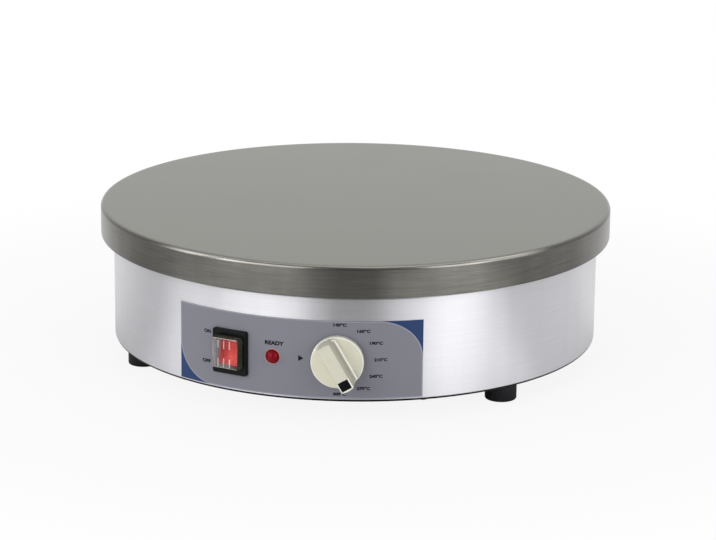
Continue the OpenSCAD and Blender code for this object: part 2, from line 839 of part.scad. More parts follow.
module thermostat_body() color("#c8c0b0") at_dial() difference() {
    slab(thermo_w, thermo_h, thermo_corner, thermo_back, thermo_front);
    rod(spindle_d / 2 + slip, thermo_front - spindle_in - cut, thermo_front + cut);
    up_and_down(thermo_pitch) rod(m4_d / 2 + slip, thermo_front - screw_in - cut, thermo_front + cut);
}

module thermostat_screws() color("silver") at_dial() up_and_down(thermo_pitch) {
    rod(m4_head_d / 2, 0, m4_head_h);
    rod(m4_d / 2, thermo_front - screw_in, 0);
}

module thermostat_terminals() color("gold") at_dial()
    for (u = [-thermo_tab, thermo_tab]) for (v = [-thermo_tab, thermo_tab])
        translate([u - blade_t / 2, v - blade_w / 2, thermo_back - blade_len])
            cube([blade_t, blade_w, blade_len]);

module beyond_flat(offset, start)
    translate([-spindle_d, offset, start]) cube([2 * spindle_d, spindle_d, spindle_top]);

module thermostat_spindle() color("gray") in_knob() difference() {
    rod(spindle_d / 2, thermo_front - spindle_in, spindle_top);
    beyond_flat(spindle_flat, flat_start);
}

module grip_outline(w, r) intersection() {
    circle(r = r);
    square([w, 2 * r + cut], center = true);
}

module knob_ridge(w, end_r, height) translate([0, 0, knob_face - cut])
    linear_extrude(height + cut) grip_outline(w, end_r);

module knob_disc() rotate_extrude() polygon(concat(
    [[0, knob_back], [knob_d / 2 - knob_back_edge, knob_back]],
    [[knob_d / 2, knob_back + knob_back_edge]],
    arc(knob_d / 2 - knob_edge, knob_face - knob_edge, knob_edge, 0, 90, 3),
    [[0, knob_face]]));

// Room for the pointer inlay, open at the end of the grip
module pointer_slot(grow, rise) {
    w = grip_w - 2 * pointer_border + 2 * grow;
    start = grip_end_r - pointer_edge - pointer_len - grow;
    translate([-w / 2, start, knob_face + grip_h - pointer_t - grow])
        cube([w, pointer_len + 2 * grow, pointer_t + grow + rise]);
}

module knob_body() color("cornsilk") in_knob() difference() {
    union() {
        knob_disc();
        knob_ridge(grip_w, grip_end_r, grip_h);
        knob_ridge(plinth_w, plinth_end_r, plinth_h);
    }
    pipe(knob_d / 2 - knob_wall, hub_r, knob_back - cut, knob_face - knob_face_t);
    difference() {
        rod(spindle_d / 2 + fit, knob_back - cut, spindle_top + 2 * slip);
        beyond_flat(spindle_flat + 2 * fit + spring_t, flat_start + cut);
    }
    pointer_slot(fit, cut);
}

module knob_pointer() color("black") in_knob() pointer_slot(0, 0);

module knob_spring() color("silver") in_knob()
    translate([-spring_w / 2, spindle_flat + fit, flat_start + 2 * cut])
        cube([spring_w, spring_t, spindle_top - flat_start - 3 * cut]);

// ---------- temperature bulb ----------

module sensing_bulb() color("orange") translate([0, bulb_y, bulb_z]) rotate([0, 90, 0])
    rod(bulb_d / 2, -bulb_end_x, bulb_end_x);

module bulb_clip() color("silver") difference() {
    reach = bulb_boss_y + bulb_boss_d / 2;
    translate([-bulb_clip_w / 2, bulb_y - reach, clip_bottom])
        cube([bulb_clip_w, 2 * reach, bulb_clip_t]);
    at_bulb_screws() drill(m3_d / 2 + fit, clip_bottom, clip_top);
}

module bulb_screws() color("silver") at_bulb_screws() {
    rod(m3_head_d / 2, clip_bottom - m3_head_h, clip_bottom);
    rod(m3_d / 2, clip_bottom, ceiling_z + boss_root / 2);
}

thermo_top = on_wall(knob_angle, knob_h0, 0, thermo_h / 2 + fit, thermo_front - thermo_depth / 2);
capillary_z = (thermo_top[2] + shield_bottom) / 2;
capillary_route = [
    [bulb_end_x + fit, bulb_y, bulb_z],
    [bulb_end_x + grid, bulb_y, bulb_z],
    [capillary_x - grid, bulb_y, bulb_z - grid],
    [capillary_x, bulb_y, insulation_top],
    [capillary_x, bulb_y, shield_bottom - grid / 2],
    [capillary_x, bulb_y - 2 * grid, capillary_z],
    [thermo_top[0] + 4 * grid, thermo_top[1] + 12 * grid, capillary_z],
    [thermo_top[0] + grid, thermo_top[1] + 3 * grid, capillary_z],
    [thermo_top[0], thermo_top[1], (thermo_top[2] + capillary_z) / 2],
    thermo_top];

module capillary_tube() color("peru") wire(smooth(capillary_route), capillary_d / 2);

// ---------- terminal block and earth ----------

module at_block() rotate([0, 0, block_angle]) translate([0, -block_r, 0]) children();

module at_block_screws() at_block()
    for (s = [-1, 1]) translate([s * block_pitch / 2, 0, 0]) children();

module at_poles() for (i = [-1:1]) translate([i * block_pitch, 0, 0]) children();

module front_and_back() for (s = [-1, 1]) translate([0, s * block_depth / 4, 0]) children();

module terminal_block() color("ivory") difference() {
    top = base_top + block_h;
    at_block() translate([-block_w / 2, -block_depth / 2, base_top])
        cube([block_w, block_depth, block_h]);
    at_block_screws() {
        drill(m3_d / 2 + fit, base_top, top);
        rod(m3_head_d / 2 + slip, top - block_recess, top + cut);
    }
    at_block() at_poles() {
        translate([0, 0, block_z]) rotate([90, 0, 0])
            cylinder(r = block_bore_r, h = 2 * block_depth, center = true);
        front_and_back() rod(m3_d / 2 + fit, block_z, top + cut);
    }
}

module terminal_screws() color("gold") at_block() at_poles() front_and_back()
    rod(m3_d / 2, block_z + wire_r + fit, base_top + block_h - 2 * slip);

module block_screws() color("silver") at_block_screws() {
    head_z = base_top + block_h - block_recess;
    rod(m3_head_d / 2, head_z, head_z + m3_head_h);
    rod(m3_d / 2, flange_top - cut, head_z);
}

earth_pos = polar(earth_r, earth_angle);

module at_earth() translate(earth_pos) children();

module earth_stud() color("gold") at_earth() {
    rod(m4_d / 2, flange_top, base_top + earth_stud_out);
    rod(m4_head_d / 2, flange_top - m4_head_h, flange_top);
}

module earth_nuts() color("silver") at_earth() for (z = [base_top, eye_z + eye_t])
    hex_nut(m4_nut_af, m4_d / 2 + fit, z, z + m4_nut_h);

// ---------- cable gland ----------

module at_gland() at_wall(180, gland_h0, housing_r) children();

module gland_seal() color("#303030") difference() {
    at_gland() pipe(gland_af / sqrt(3), gland_d / 2 + fit, -cut, gland_seal_t);
    drum(housing_r);
}

module gland_body() color("#202020") at_gland() difference() {
    union() {
        hex(gland_af, gland_seal_t, gland_hex_top);
        rod(gland_d / 2, -gland_barrel_in, gland_barrel_end);
    }
    rod(grommet_r + fit, grommet_start, gland_cap_end);
    rod(cable_clear_r, -gland_barrel_in - cut, grommet_start + cut);
}

module gland_grommet() color("#404040") at_gland()
    pipe(grommet_r, cable_bore_r, grommet_start, grommet_start + grommet_len);

module gland_cap() color("#202020") at_gland() difference() {
    cone_start = gland_cap_end - gland_cone_h;
    union() {
        hex(gland_af, gland_hex_top + slip, cone_start);
        translate([0, 0, cone_start])
            cylinder(r1 = gland_af / 2 - slip, r2 = gland_af / 2 - gland_cone_in, h = gland_cone_h);
    }
    rod(gland_d / 2 + fit, gland_hex_top, cone_start);
    drill(cable_clear_r, gland_hex_top, gland_cap_end);
}

locknut_w = label_t - behind_band(gland_af * 2 / sqrt(3));

module gland_locknut() color("#202020") at_gland()
    hex_nut(gland_af, gland_d / 2 + fit, locknut_w - gland_nut_h, locknut_w);

// ---------- wiring ----------

// Places behind the terminals; the offsets u, v and w are in steps of the grid
function at_tab(i, j, u, v, w) =
    on_wall(switch_angle, switch_h0, i * tab_u + u * grid, j * tab_v + v * grid, tab_end - w * grid);
function at_thermo(i, j, u, v, w) = on_wall(knob_angle, knob_h0,
    i * thermo_tab + u * grid, j * thermo_tab + v * grid, thermo_tab_end - w * grid);
function at_lamp_back(i, u, v, w) = on_wall(lamp_angle, lamp_h0,
    i * lead_u + u * grid, v * grid, -lamp_depth - fit - w * grid);
function at_pole(i, r, z) =
    polar(r, block_angle, z) + i * block_pitch * [cos(block_angle), sin(block_angle), 0];

leg_a = leg_point(outer_loop_r, leg_bottom - pin_len - fit);
leg_b = leg_point(inner_loop_r, leg_bottom - pin_len - fit);

live_in = concat(
    [at_pole(0, block_face + wire_in, block_z), at_pole(0, block_face - grid, block_z)],
    [polar(block_face - 3 * grid, block_angle + 6, lane_z + grid)],
    lane(lane_r - lane_gap, block_lane_angle, switch_angle - 14, lane_z, 7),
    [at_tab(-1, -1, 0, -2, 3.5), at_tab(-1, -1, 0, 0, 2), at_tab(-1, -1, 0, 0, 0)]);
live_middle = [
    at_tab(1, 1, 0, 0, 0), at_tab(1, 1, 0, 0, 2), at_tab(1, 1, 2, -1, 4),
    at_thermo(-1, 0, -4, -1, 2), at_thermo(-1, -1, -0.5, 0, 2),
    at_thermo(-1, -1, 0, 0, 1), at_thermo(-1, -1, 0, 0, 0)];
live_out = concat(
    [at_thermo(1, -1, 0, 0, 0), at_thermo(1, -1, 0, 0, 1.5), at_thermo(1, -1, -1, -2, 3.5)],
    lane(lane_r - 4 * grid, knob_angle - 8, outer_leg_angle, lane_z + 1.5 * grid, 4),
    [leg_a - grid * [-0.5, 1.5, 5.5], leg_a - grid * [0, 0, 2], leg_a]);
neutral_in = concat(
    [at_pole(1, block_face + wire_in, block_z), at_pole(1, block_face - grid / 2, block_z)],
    [polar(block_face - grid, block_angle + 11, lane_z + grid)],
    lane(lane_r, block_lane_angle, switch_angle - 10, lane_z, 7),
    [at_tab(1, -1, 0, -2, 2), at_tab(1, -1, 0, 0, 1), at_tab(1, -1, 0, 0, 0)]);
neutral_out = concat(
    [at_tab(-1, 1, 0, 0, 0), at_tab(-1, 1, 0, 0, 2), at_tab(-1, 1, -2, 0, 3)],
    lane(lane_r - 4.5 * grid, inner_lane_angle, inner_leg_angle, leg_b[2] - 3 * grid, 2),
    [leg_b - grid * [0, 0, 2], leg_b]);
eye_end = earth_pos + [-eye_tail, 0, eye_z + eye_t / 2];
earth_in = [
    at_pole(-1, block_face + wire_in, block_z), at_pole(-1, block_face - grid, block_z),
    at_pole(-1, block_face - 3 * grid, eye_z + grid),
    eye_end - grid * [3, 0.5, 0], eye_end - grid * [1, 0, 0], eye_end - [fit, 0, 0]];
lamp_in = [
    at_lamp_back(-1, 0, 0, 0), at_lamp_back(-1, 0, 0, 1), at_lamp_back(-1, 1, 1, 3.5),
    at_thermo(-1, 1, -2, 0, 1), at_thermo(-1, 1, 0, 0, 1), at_thermo(-1, 1, 0, 0, 0)];
lamp_out = [
    at_lamp_back(1, 0, 0, 0), at_lamp_back(1, 0, 0, 1), at_lamp_back(1, 1, 2, 2),
    at_thermo(-1, 1, -3, 2, -1.5), at_thermo(-1, 1, 0, 2, 1), at_thermo(1, 1, 0, 0.5, 2),
    at_thermo(1, 1, 0, 0, 1), at_thermo(1, 1, 0, 0, 0)];

module wires_live() color("firebrick") {
    wire(smooth(live_in, 2), wire_r);
    wire(smooth(live_middle), wire_r);
    wire(smooth(live_out), wire_r);
}

module wires_neutral() color("royalblue") {
    wire(smooth(neutral_in, 2), wire_r);
    wire(smooth(neutral_out), wire_r);
}

// The earth wire ends in a flat eye between the stud's two nuts
module wire_earth() color("yellowgreen") {
    difference() {
        union() {
            at_earth() rod(eye_r, eye_z, eye_z + eye_t);
            at_earth() translate([-eye_tail, -eye_w / 2, eye_z]) cube([eye_tail, eye_w, eye_t]);
        }
        at_earth() drill(m4_d / 2 + fit, eye_z, eye_z + eye_t);
    }
    wire(smooth(earth_in, 2), wire_r);
}

module lamp_leads() color("tomato") {
    wire(smooth(lamp_in), lead_r);
    wire(smooth(lamp_out), lead_r);
}

griddle_plate();
heating_element();
element_pins();
clamp_ring();
clamp_screws();
clamp_washers();
insulation_disc();
heat_shield();
support_studs();
upper_sleeves();
lower_sleeves();
support_washers();
support_nuts();
housing_shell();
base_plate();
base_screws();
base_nuts();
feet();
foot_screws();
foot_nuts();
control_label();
switch_housing();
switch_rocker();
switch_cover();
switch_terminals();
lamp_lens();
lamp_body();
lamp_nut();
thermostat_body();
thermostat_plate();
thermostat_screws();
thermostat_terminals();
thermostat_spindle();
knob_body();
knob_pointer();
knob_spring();
capillary_tube();
sensing_bulb();
bulb_clip();
bulb_screws();
terminal_block();
terminal_screws();
block_screws();
earth_stud();
earth_nuts();
gland_body();
gland_seal();
gland_grommet();
gland_cap();
gland_locknut();
wires_live();
wires_neutral();
wire_earth();
lamp_leads();
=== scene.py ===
"""Electric crepe maker: a cast iron griddle on a round steel housing with its controls at the front.

Lengths inside the functions are metres. The tables near the top are millimetres, but for the lamps' table.
"""

import math
from contextlib import contextmanager

import bmesh
import bpy
from bpy.props import FloatProperty, FloatVectorProperty, PointerProperty
from mathutils import Matrix, Vector


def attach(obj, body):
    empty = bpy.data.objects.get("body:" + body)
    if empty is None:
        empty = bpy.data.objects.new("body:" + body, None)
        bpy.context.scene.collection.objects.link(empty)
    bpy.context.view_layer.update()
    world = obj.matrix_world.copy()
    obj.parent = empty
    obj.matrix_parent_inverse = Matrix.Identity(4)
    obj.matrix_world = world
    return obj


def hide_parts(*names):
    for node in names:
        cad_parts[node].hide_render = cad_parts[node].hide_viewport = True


bl_info = {
    "name": "Electric crepe maker",
    "version": (1, 0, 0),
    "blender": (4, 5, 0),
    "location": "View3D > Sidebar > Crepe maker",
    "description": "Models and finishes the parts of an electric crepe maker",
    "category": "Object",
}

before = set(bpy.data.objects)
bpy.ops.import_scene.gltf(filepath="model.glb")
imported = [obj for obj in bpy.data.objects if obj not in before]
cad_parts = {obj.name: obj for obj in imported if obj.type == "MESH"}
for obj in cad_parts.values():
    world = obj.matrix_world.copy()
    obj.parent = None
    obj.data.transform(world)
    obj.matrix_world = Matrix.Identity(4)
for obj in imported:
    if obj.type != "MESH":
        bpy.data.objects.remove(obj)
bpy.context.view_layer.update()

MM = 0.001
WELD = 1e-6
MAIN = "appliance"
DIAL = "dial_knob"
ROCKER = "rocker"

# Where the pieces stand, in millimetres and degrees. Angles turn about Z from the front.
GRIDDLE_BOTTOM = 96
GRIDDLE_TOP = 120
CEILING = 108
CAVITY_R = 186
HOUSING_R = 190
LABEL_R = 190.4
LABEL_LOW = 17
LABEL_HIGH = 76
LABEL_EDGE = 96.7
SWITCH_AT = (-14.8, 45.5)
LAMP_AT = (-4.6, 46)
KNOB_AT = (10.1, 46.2)
GLAND_AT = (180, 36)
POINTER_CLOCK = 150
FOOT_RING = 172.5
FOOT_ANGLES = (-58.4, 53.6, 121.6, -126.4)
FOOT_GROOVES = (6.4, 8.0, 9.6)
BASE_SCREW_RING = 183
BASE_SCREW_ANGLES = (90, 150, 210, 270, 330, 390)
# How far the rocker tips, and where the ribs of its cover stand up and across
ROCKER_TRAVEL = 24
RIB_LEVELS = (6.8, -7.0)
RIB_PLACES = (-5.6, -0.8, 4.2)
# The middle of the painted highlight on the plate's edge, seen from above
EDGE_HIGHLIGHT_MIDDLE = 14
# The bosses under the plate: ring, radius, lower end and angles
GRIDDLE_BOSSES = (
    (165, 11, 97, (-142, -38, 38, 142)),
    (123, 7, 100.9, (0, 60, 120, 180, 240, 300)),
    (48.5, 4.5, 102, (0,)),
    (71.5, 4.5, 102, (0,)),
)
# The screws: the head's radius, lower end and height, the shank's radius and upper end, ring and angles
SCREWS = {
    "base_screw": (3.7, 12.5, 1.5, 2, 21.6, BASE_SCREW_RING, BASE_SCREW_ANGLES),
    "foot_screw": (4.75, 3, 3, 2.5, 22.4, FOOT_RING, FOOT_ANGLES),
}
THREAD_PITCH = 0.8

# The print: each word with its width, its height and its middle's angle and height on the label
LABEL_WORDS = (
    ("ON", 6.0, 2.9, (-21.1, 57.9)),
    ("OFF", 7.6, 2.9, (-21.4, 34.7)),
    ("READY", 14.8, 3.2, (-4.2, 56.4)),
)
INDEX_MARK = (1.7, 46.6)
INDEX_MARK_RADIUS = 2.6
# The dial's numbers, each with its place in degrees clockwise from the top
DIAL_WORDS = (
    ("140°C", 0), ("160°C", 30), ("190°C", 60), ("210°C", 90), ("240°C", 120), ("270°C", 150), ("300°C", 180),
)
DIAL_MIDDLE = (10.55, 46.9)
DIAL_RADIUS = 25.2
# How much further out the highest and the lowest number stand
DIAL_RISE = 1.2
DIAL_WORD_WIDTH = 9.7
DIAL_WORD_HEIGHT = 2.6
PRINT_DEPTH = 0.06
MARK_DEPTH = 0.09
# How much the letters are thickened, as a share of their size
PRINT_WEIGHT = 0.055

# The lamps, in metres and watts: place, width, height and power
LAMP_TARGET = (0, 0, 0.07)
SOFTBOXES = {
    "front_left_softbox": ((-1.04, -2.05, 0.95), 1.65, 1.8, 20),
    "side_left_softbox": ((-2.2, -0.8, 0.95), 1.1, 1.8, 7),
    "front_right_softbox": ((1.94, -1.23, 0.95), 1.05, 1.8, 12.5),
    "overhead_softbox": ((0.1, 0.35, 2.2), 2.2, 2.2, 12),
}
# The backdrop as metal shows it: its light goes from dim to bright between two directions along Y
BACKDROP_REACH = (-0.9, 0.35)
BACKDROP_LIGHT = (0.12, 1.0)
# The light that falls from all round on what isn't mirrored, and that the floor has between the softboxes
SHADE_LIGHT = 0.5
# How the softboxes shine on the floor, as polished metal shows it: direction and reach in degrees, strength
FLOOR_SHEEN = ((47, 28, 0.7), (78, 32, 0.17), (-28, 35, 0.55), (180, 90, 0.4), (-180, 116, 0.42))
# The camera's small turns about its own axes after it looks at the plate's middle, in degrees
CAMERA_TRIM = (("Y", -0.0584), ("X", -1.4195), ("Z", 0.538))


def size(name, millimetres, description):
    """A length that a user may change."""
    return FloatProperty(
        name=name, description=description, default=millimetres * MM, min=0, precision=4, unit="LENGTH"
    )


def tint(name, red, green, blue, description):
    """A colour that a user may change."""
    return FloatVectorProperty(
        name=name, description=description, default=(red, green, blue), size=3, min=0, max=1, subtype="COLOR"
    )


def swing(name, degrees, description):
    """An angle that a user may change."""
    return FloatProperty(name=name, description=description, default=math.radians(degrees), unit="ROTATION")


class GriddleSizes(bpy.types.PropertyGroup):
    """Sizes of the cooking plate."""

    radius: size("Radius", 200, "Radius of the cooking plate")
    fillet: size("Top fillet", 3, "Fillet round the top edge")
    foot_fillet: size("Lower fillet", 1, "Fillet round the lower edge")
    ceiling_bevel: size("Ceiling bevel", 2, "Bevel where the rim meets the plate")


class SwitchSizes(bpy.types.PropertyGroup):
    """Sizes of the rocker switch."""

    width: size("Width", 28.7, "Width of the frame")
    height: size("Height", 34, "Height of the frame")
    thickness: size("Thickness", 3, "Height of the frame over the label")
    corner: size("Corner", 1.5, "Radius of the frame's corners")
    edge: size("Edge", 0.8, "Rounding of the frame's front edge")
    lip_height: size("Opening", 24.6, "Height of the opening at the frame's front")
    lip_depth: size("Lip", 1.2, "Thickness of the lip round the opening")
    well_width: size("Well width", 21, "Width of the rocker's well")
    well_radius: size("Well radius", 13.3, "Radius of the well about the pin")
    body_width: size("Body width", 23.8, "Width of the body behind the label")
    body_height: size("Body height", 29.4, "Height of the body behind the label")
    body_depth: size("Body depth", 24, "Depth of the body behind the label")
    pin_depth: size("Pin depth", 3, "Pin behind the label")
    rocker_width: size("Rocker width", 20.4, "Width of the rocker")
    rocker_radius: size("Rocker radius", 12.6, "Radius of the rocker's ends about its pin")
    rocker_face: size("Rocker face", 2.4, "Pressed face over the label")
    rocker_back: size("Rocker back", 9, "Back of the rocker behind the label")


class CoverSizes(bpy.types.PropertyGroup):
    """Sizes of the clear cover over the rocker."""

    width: size("Width", 23.4, "Width of the cover")
    height: size("Height", 24.4, "Height of the cover")
    rise: size("Rise", 0.4, "Middle of the cover above the switch's middle")
    low: size("Foot", 3, "Foot of the cover over the label")
    step: size("Step", 7.8, "Step round the cover over the label")
    top: size("Top", 9, "Top of the cover over the label")
    inset: size("Inset", 0.8, "Inset of the top")
    corner: size("Corner", 2, "Radius of the corners")
    wall: size("Wall", 0.5, "Thickness of the clear wall")
    rib_width: size("Rib width", 1.0, "Width of a rib on the face")
    rib_height: size("Rib height", 0.5, "Height of a rib on the face")
    rib_length: size("Rib length", 6.5, "Length of a rib on the face")


class LampSizes(bpy.types.PropertyGroup):
    """Sizes of the lamp's lens."""

    radius: size("Radius", 5.5, "Radius of the lens")
    rise: size("Rise", 4.5, "Height of the lens over the label")
    seat: size("Seat", 0.6, "Foot of the lens below the label's surface")
    bore: size("Bore", 3.5, "Radius of the hollow behind the lens")
    bore_rise: size("Bore rise", 2.25, "Height of the hollow")
    ring_radius: size("Ring", 6.1, "Outer radius of the pale ring")
    ring_rise: size("Ring rise", 0.45, "Height of the pale ring over the label")


class KnobSizes(bpy.types.PropertyGroup):
    """Sizes of the thermostat's knob."""

    radius: size("Radius", 19.5, "Radius of the disc")
    back: size("Back", 0.8, "Back of the disc over the label")
    face: size("Face", 6.5, "Face of the disc over the label")
    edge: size("Edge", 1, "Rounding of the disc's edge")
    grip_width: size("Grip width", 10, "Width of the grip")
    grip_radius: size("Grip end", 19, "Radius of the grip's ends")
    grip_top: size("Grip top", 23, "Top of the grip over the label")
    grip_edge: size("Grip edge", 0.7, "Rounding of the grip's edges")
    plinth_width: size("Plinth width", 16.5, "Width of the plinth beside the grip")
    plinth_radius: size("Plinth end", 18.9, "Radius of the plinth's ends")
    plinth_top: size("Plinth top", 10.5, "Top of the plinth over the label")
    inlay_start: size("Inlay start", 10.2, "Start of the pointer inlay from the axis")
    inlay_length: size("Inlay length", 7.2, "Length of the pointer inlay")
    inlay_width: size("Inlay width", 8, "Width of the pointer inlay")
    inlay_depth: size("Inlay depth", 1, "Depth of the pointer inlay")


class FootSizes(bpy.types.PropertyGroup):
    """Sizes of a foot."""

    radius: size("Radius", 12, "Radius of the foot")
    height: size("Height", 15.2, "Height of the foot")
    bevel: size("Bevel", 1.5, "Bevel at the floor")
    recess: size("Recess", 5.05, "Radius of the screw's recess")
    recess_depth: size("Recess depth", 6, "Depth of the screw's recess")
    bore: size("Bore", 2.55, "Radius of the screw's hole")


class GlandSizes(bpy.types.PropertyGroup):
    """Sizes of the cable gland's cap."""

    flats: size("Across flats", 24, "Width across the cap's flats")
    start: size("Start", 6.8, "Start of the cap over the band")
    shoulder: size("Shoulder", 18, "End of the cap's flats")
    end: size("End", 22, "End of the cap")
    mouth: size("Mouth", 9, "Radius of the cap's end")
    bore: size("Bore", 5.2, "Radius of the opening for the cable")
    thread: size("Thread", 10.05, "Radius of the thread")


class FinishColours(bpy.types.PropertyGroup):
    """Colours of the finishes."""

    iron: tint("Cast iron", 0.165, 0.160, 0.146, "Seasoned cast iron")
    band: tint("Steel band", 0.76, 0.757, 0.79, "Brushed steel of the housing")
    label: tint("Label", 0.230, 0.230, 0.270, "Grey of the control label")
    corner: tint("Label corners", 0.016, 0.044, 0.145, "Blue of the label's corners")
    print: tint("Print", 0.008, 0.008, 0.013, "Words on the label")
    black: tint("Black plastic", 0.006, 0.007, 0.007, "Switch frame and gland")
    rocker: tint("Rocker", 0.88, 0.058, 0.048, "Red of the rocker")
    lens: tint("Lens", 0.235, 0.0, 0.006, "Red of the lamp's lens")
    ivory: tint("Ivory", 0.757, 0.736, 0.602, "Knob")
    rubber: tint("Rubber", 0.007, 0.007, 0.009, "Feet")


class StageSettings(bpy.types.PropertyGroup):
    """The camera and the light round the object."""

    turn: swing("Turn", 13.75, "Camera's turn from the front")
    rise: swing("Rise", 14.097, "Camera's height angle")
    distance: size("Distance", 2249.2, "Camera to the middle of the plate's top")
    lens: FloatProperty(name="Lens", description="Focal length", default=143.56, unit="CAMERA")
    floor: size("Floor", 9000, "Side of the floor")
    floor_back: size("Floor middle", 1000, "Middle of the floor behind the object")


# ---------- modelling helpers ----------


def choose(*pieces):
    """Leaves only these pieces selected, with the last of them active."""
    bpy.ops.object.select_all(action="DESELECT")
    for piece in pieces:
        piece.select_set(True)
    bpy.context.view_layer.objects.active = pieces[-1]


def named(name):
    """Names the piece that was just added."""
    piece = bpy.context.active_object
    piece.name = name
    piece.data.name = name
    return piece


def settle(piece, place=None):
    """Puts a piece in its place and keeps the place in its mesh."""
    if place is not None:
        piece.matrix_basis = place @ piece.matrix_basis
    choose(piece)
    bpy.ops.object.transform_apply(location=True, rotation=True, scale=True)
    return piece


@contextmanager
def editing(piece, kind="FACE"):
    """Edit mode on one piece, with nothing selected at the start."""
    choose(piece)
    bpy.ops.object.mode_set(mode="EDIT")
    bpy.ops.mesh.select_mode(type=kind)
    bpy.ops.mesh.select_all(action="DESELECT")
    yield
    bpy.ops.object.mode_set(mode="OBJECT")


def pick_faces(piece, test):
    """Selects the faces whose middle and normal pass the test, and no others."""
    mesh = bmesh.from_edit_mesh(piece.data)
    mesh.normal_update()
    for face in mesh.faces:
        face.select_set(False)
    for face in mesh.faces:
        if test(face.calc_center_median(), face.normal):
            face.select_set(True)
    bmesh.update_edit_mesh(piece.data)


def pick_edges(piece, test):
    """Selects the edges whose two ends pass the test, and no others."""
    mesh = bmesh.from_edit_mesh(piece.data)
    for edge in mesh.edges:
        edge.select_set(False)
    for edge in mesh.edges:
        if test(edge.verts[0].co, edge.verts[1].co):
            edge.select_set(True)
    bmesh.update_edit_mesh(piece.data)


def near(a, b, slack=WELD * 20):
    """Whether two lengths are the same."""
    return abs(a - b) < slack


def upright(start, end):
    """Whether an edge runs along Z."""
    return near(start.x, end.x) and near(start.y, end.y)


def chain(name, points):
    """A chain of edges through the points, started from one small plane."""
    bpy.ops.object.select_all(action="DESELECT")
    bpy.ops.mesh.primitive_plane_add(size=MM, location=points[0])
    piece = settle(named(name))
    with editing(piece, "VERT"):
        bpy.ops.mesh.select_all(action="SELECT")
        bpy.ops.mesh.merge(type="CENTER")
        for here, there in zip(points, points[1:]):
            bpy.ops.mesh.extrude_vertices_move(TRANSFORM_OT_translate={"value": Vector(there) - Vector(here)})
    return piece


def tidy(piece):
    """Closes seams and poles, and turns every face outwards."""
    with editing(piece):
        bpy.ops.mesh.select_all(action="SELECT")
        bpy.ops.mesh.remove_doubles(threshold=WELD)
        bpy.ops.mesh.normals_make_consistent(inside=False)
        if bmesh.from_edit_mesh(piece.data).calc_volume(signed=True) < 0:
            bpy.ops.mesh.flip_normals()
    return piece


def turned(name, profile, sides):
    """A piece turned about Z from its profile of (radius, height) points."""
    piece = chain(name, [(radius, 0, height) for radius, height in profile])
    with editing(piece, "VERT"):
        bpy.ops.mesh.select_all(action="SELECT")
        bpy.ops.mesh.spin(steps=sides, angle=math.tau, center=(0, 0, 0), axis=(0, 0, 1))
    return tidy(piece)


def prism(name, outline, reach):
    """A piece pushed out along reach from its closed outline."""
    piece = chain(name, list(outline) + [outline[0]])
    with editing(piece, "VERT"):
        bpy.ops.mesh.select_all(action="SELECT")
        bpy.ops.mesh.remove_doubles(threshold=WELD)
        bpy.ops.mesh.edge_face_add()
        bpy.ops.mesh.select_all(action="SELECT")
        bpy.ops.mesh.extrude_region_move(TRANSFORM_OT_translate={"value": reach})
    return tidy(piece)


def slab(name, width, height, low, high, corner=0, rounds=6):
    """A block with rounded upright corners."""
    bpy.ops.object.select_all(action="DESELECT")
    middle = (0, 0, (low + high) / 2)
    bpy.ops.mesh.primitive_cube_add(size=1, location=middle, scale=(width, height, high - low))
    piece = settle(named(name))
    if corner > 0:
        with editing(piece, "EDGE"):
            pick_edges(piece, upright)
            bpy.ops.mesh.bevel(offset=corner, segments=rounds, affect="EDGES")
    return piece


def rod(name, radius, low, high, sides, place=None):
    """A round bar along Z."""
    bpy.ops.object.select_all(action="DESELECT")
    bpy.ops.mesh.primitive_cylinder_add(
        vertices=sides, radius=radius, depth=high - low, location=(0, 0, (low + high) / 2)
    )
    return settle(named(name), place)


def cut_back(piece, point, normal):
    """Cuts away what lies beyond a plane and closes the cut."""
    with editing(piece):
        bpy.ops.mesh.select_all(action="SELECT")
        bpy.ops.mesh.bisect(plane_co=point, plane_no=normal, use_fill=True, clear_outer=True, threshold=WELD)
    return piece


def crossed(piece, *heights):
    """Draws a line across the piece at each place along Y."""
    for height in heights:
        with editing(piece):
            bpy.ops.mesh.select_all(action="SELECT")
            bpy.ops.mesh.bisect(plane_co=(0, height, 0), plane_no=(0, 1, 0), threshold=WELD)
    return piece


def bar(name, radius, width, low, high, sides):
    """A bar with round ends: a rod cut back to its width on both sides."""
    piece = rod(name, radius, low, high, sides)
    for side in (1, -1):
        cut_back(piece, (side * width / 2, 0, 0), (side, 0, 0))
    return tidy(piece)


def round_rim(piece, height, radius, rounds=4):
    """Rounds the edges that lie at one height."""
    with editing(piece, "EDGE"):
        pick_edges(piece, lambda start, end: near(start.z, height) and near(end.z, height))
        bpy.ops.mesh.bevel(offset=radius, segments=rounds, affect="EDGES")
    return piece


def combined(piece, other, operation):
    """Adds or cuts away another piece, which is used up."""
    modifier = piece.modifiers.new(operation.title(), "BOOLEAN")
    modifier.operation = operation
    modifier.object = other
    modifier.solver = "MANIFOLD"
    choose(piece)
    bpy.ops.object.modifier_apply(modifier=modifier.name)
    bpy.data.objects.remove(other)
    return piece


def carved(piece, *cutters):
    """Cuts each cutter out of the piece."""
    for cutter in cutters:
        combined(piece, cutter, "DIFFERENCE")
    return piece


def fused(piece, *others):
    """Fuses the others to the piece."""
    for other in others:
        combined(piece, other, "UNION")
    return piece


def joined(name, pieces):
    """Makes one piece of several that only touch."""
    choose(*pieces)
    bpy.ops.object.join()
    return named(name)


def smooth(piece, angle=40):
    """Shades the piece smooth, with its sharp edges kept."""
    choose(piece)
    bpy.ops.object.shade_smooth_by_angle(angle=math.radians(angle))
    return piece


def copy_of(piece, name, place):
    """A copy of the piece with a mesh of its own, in its own place."""
    choose(piece)
    bpy.ops.object.duplicate(linked=False)
    return settle(named(name), place)


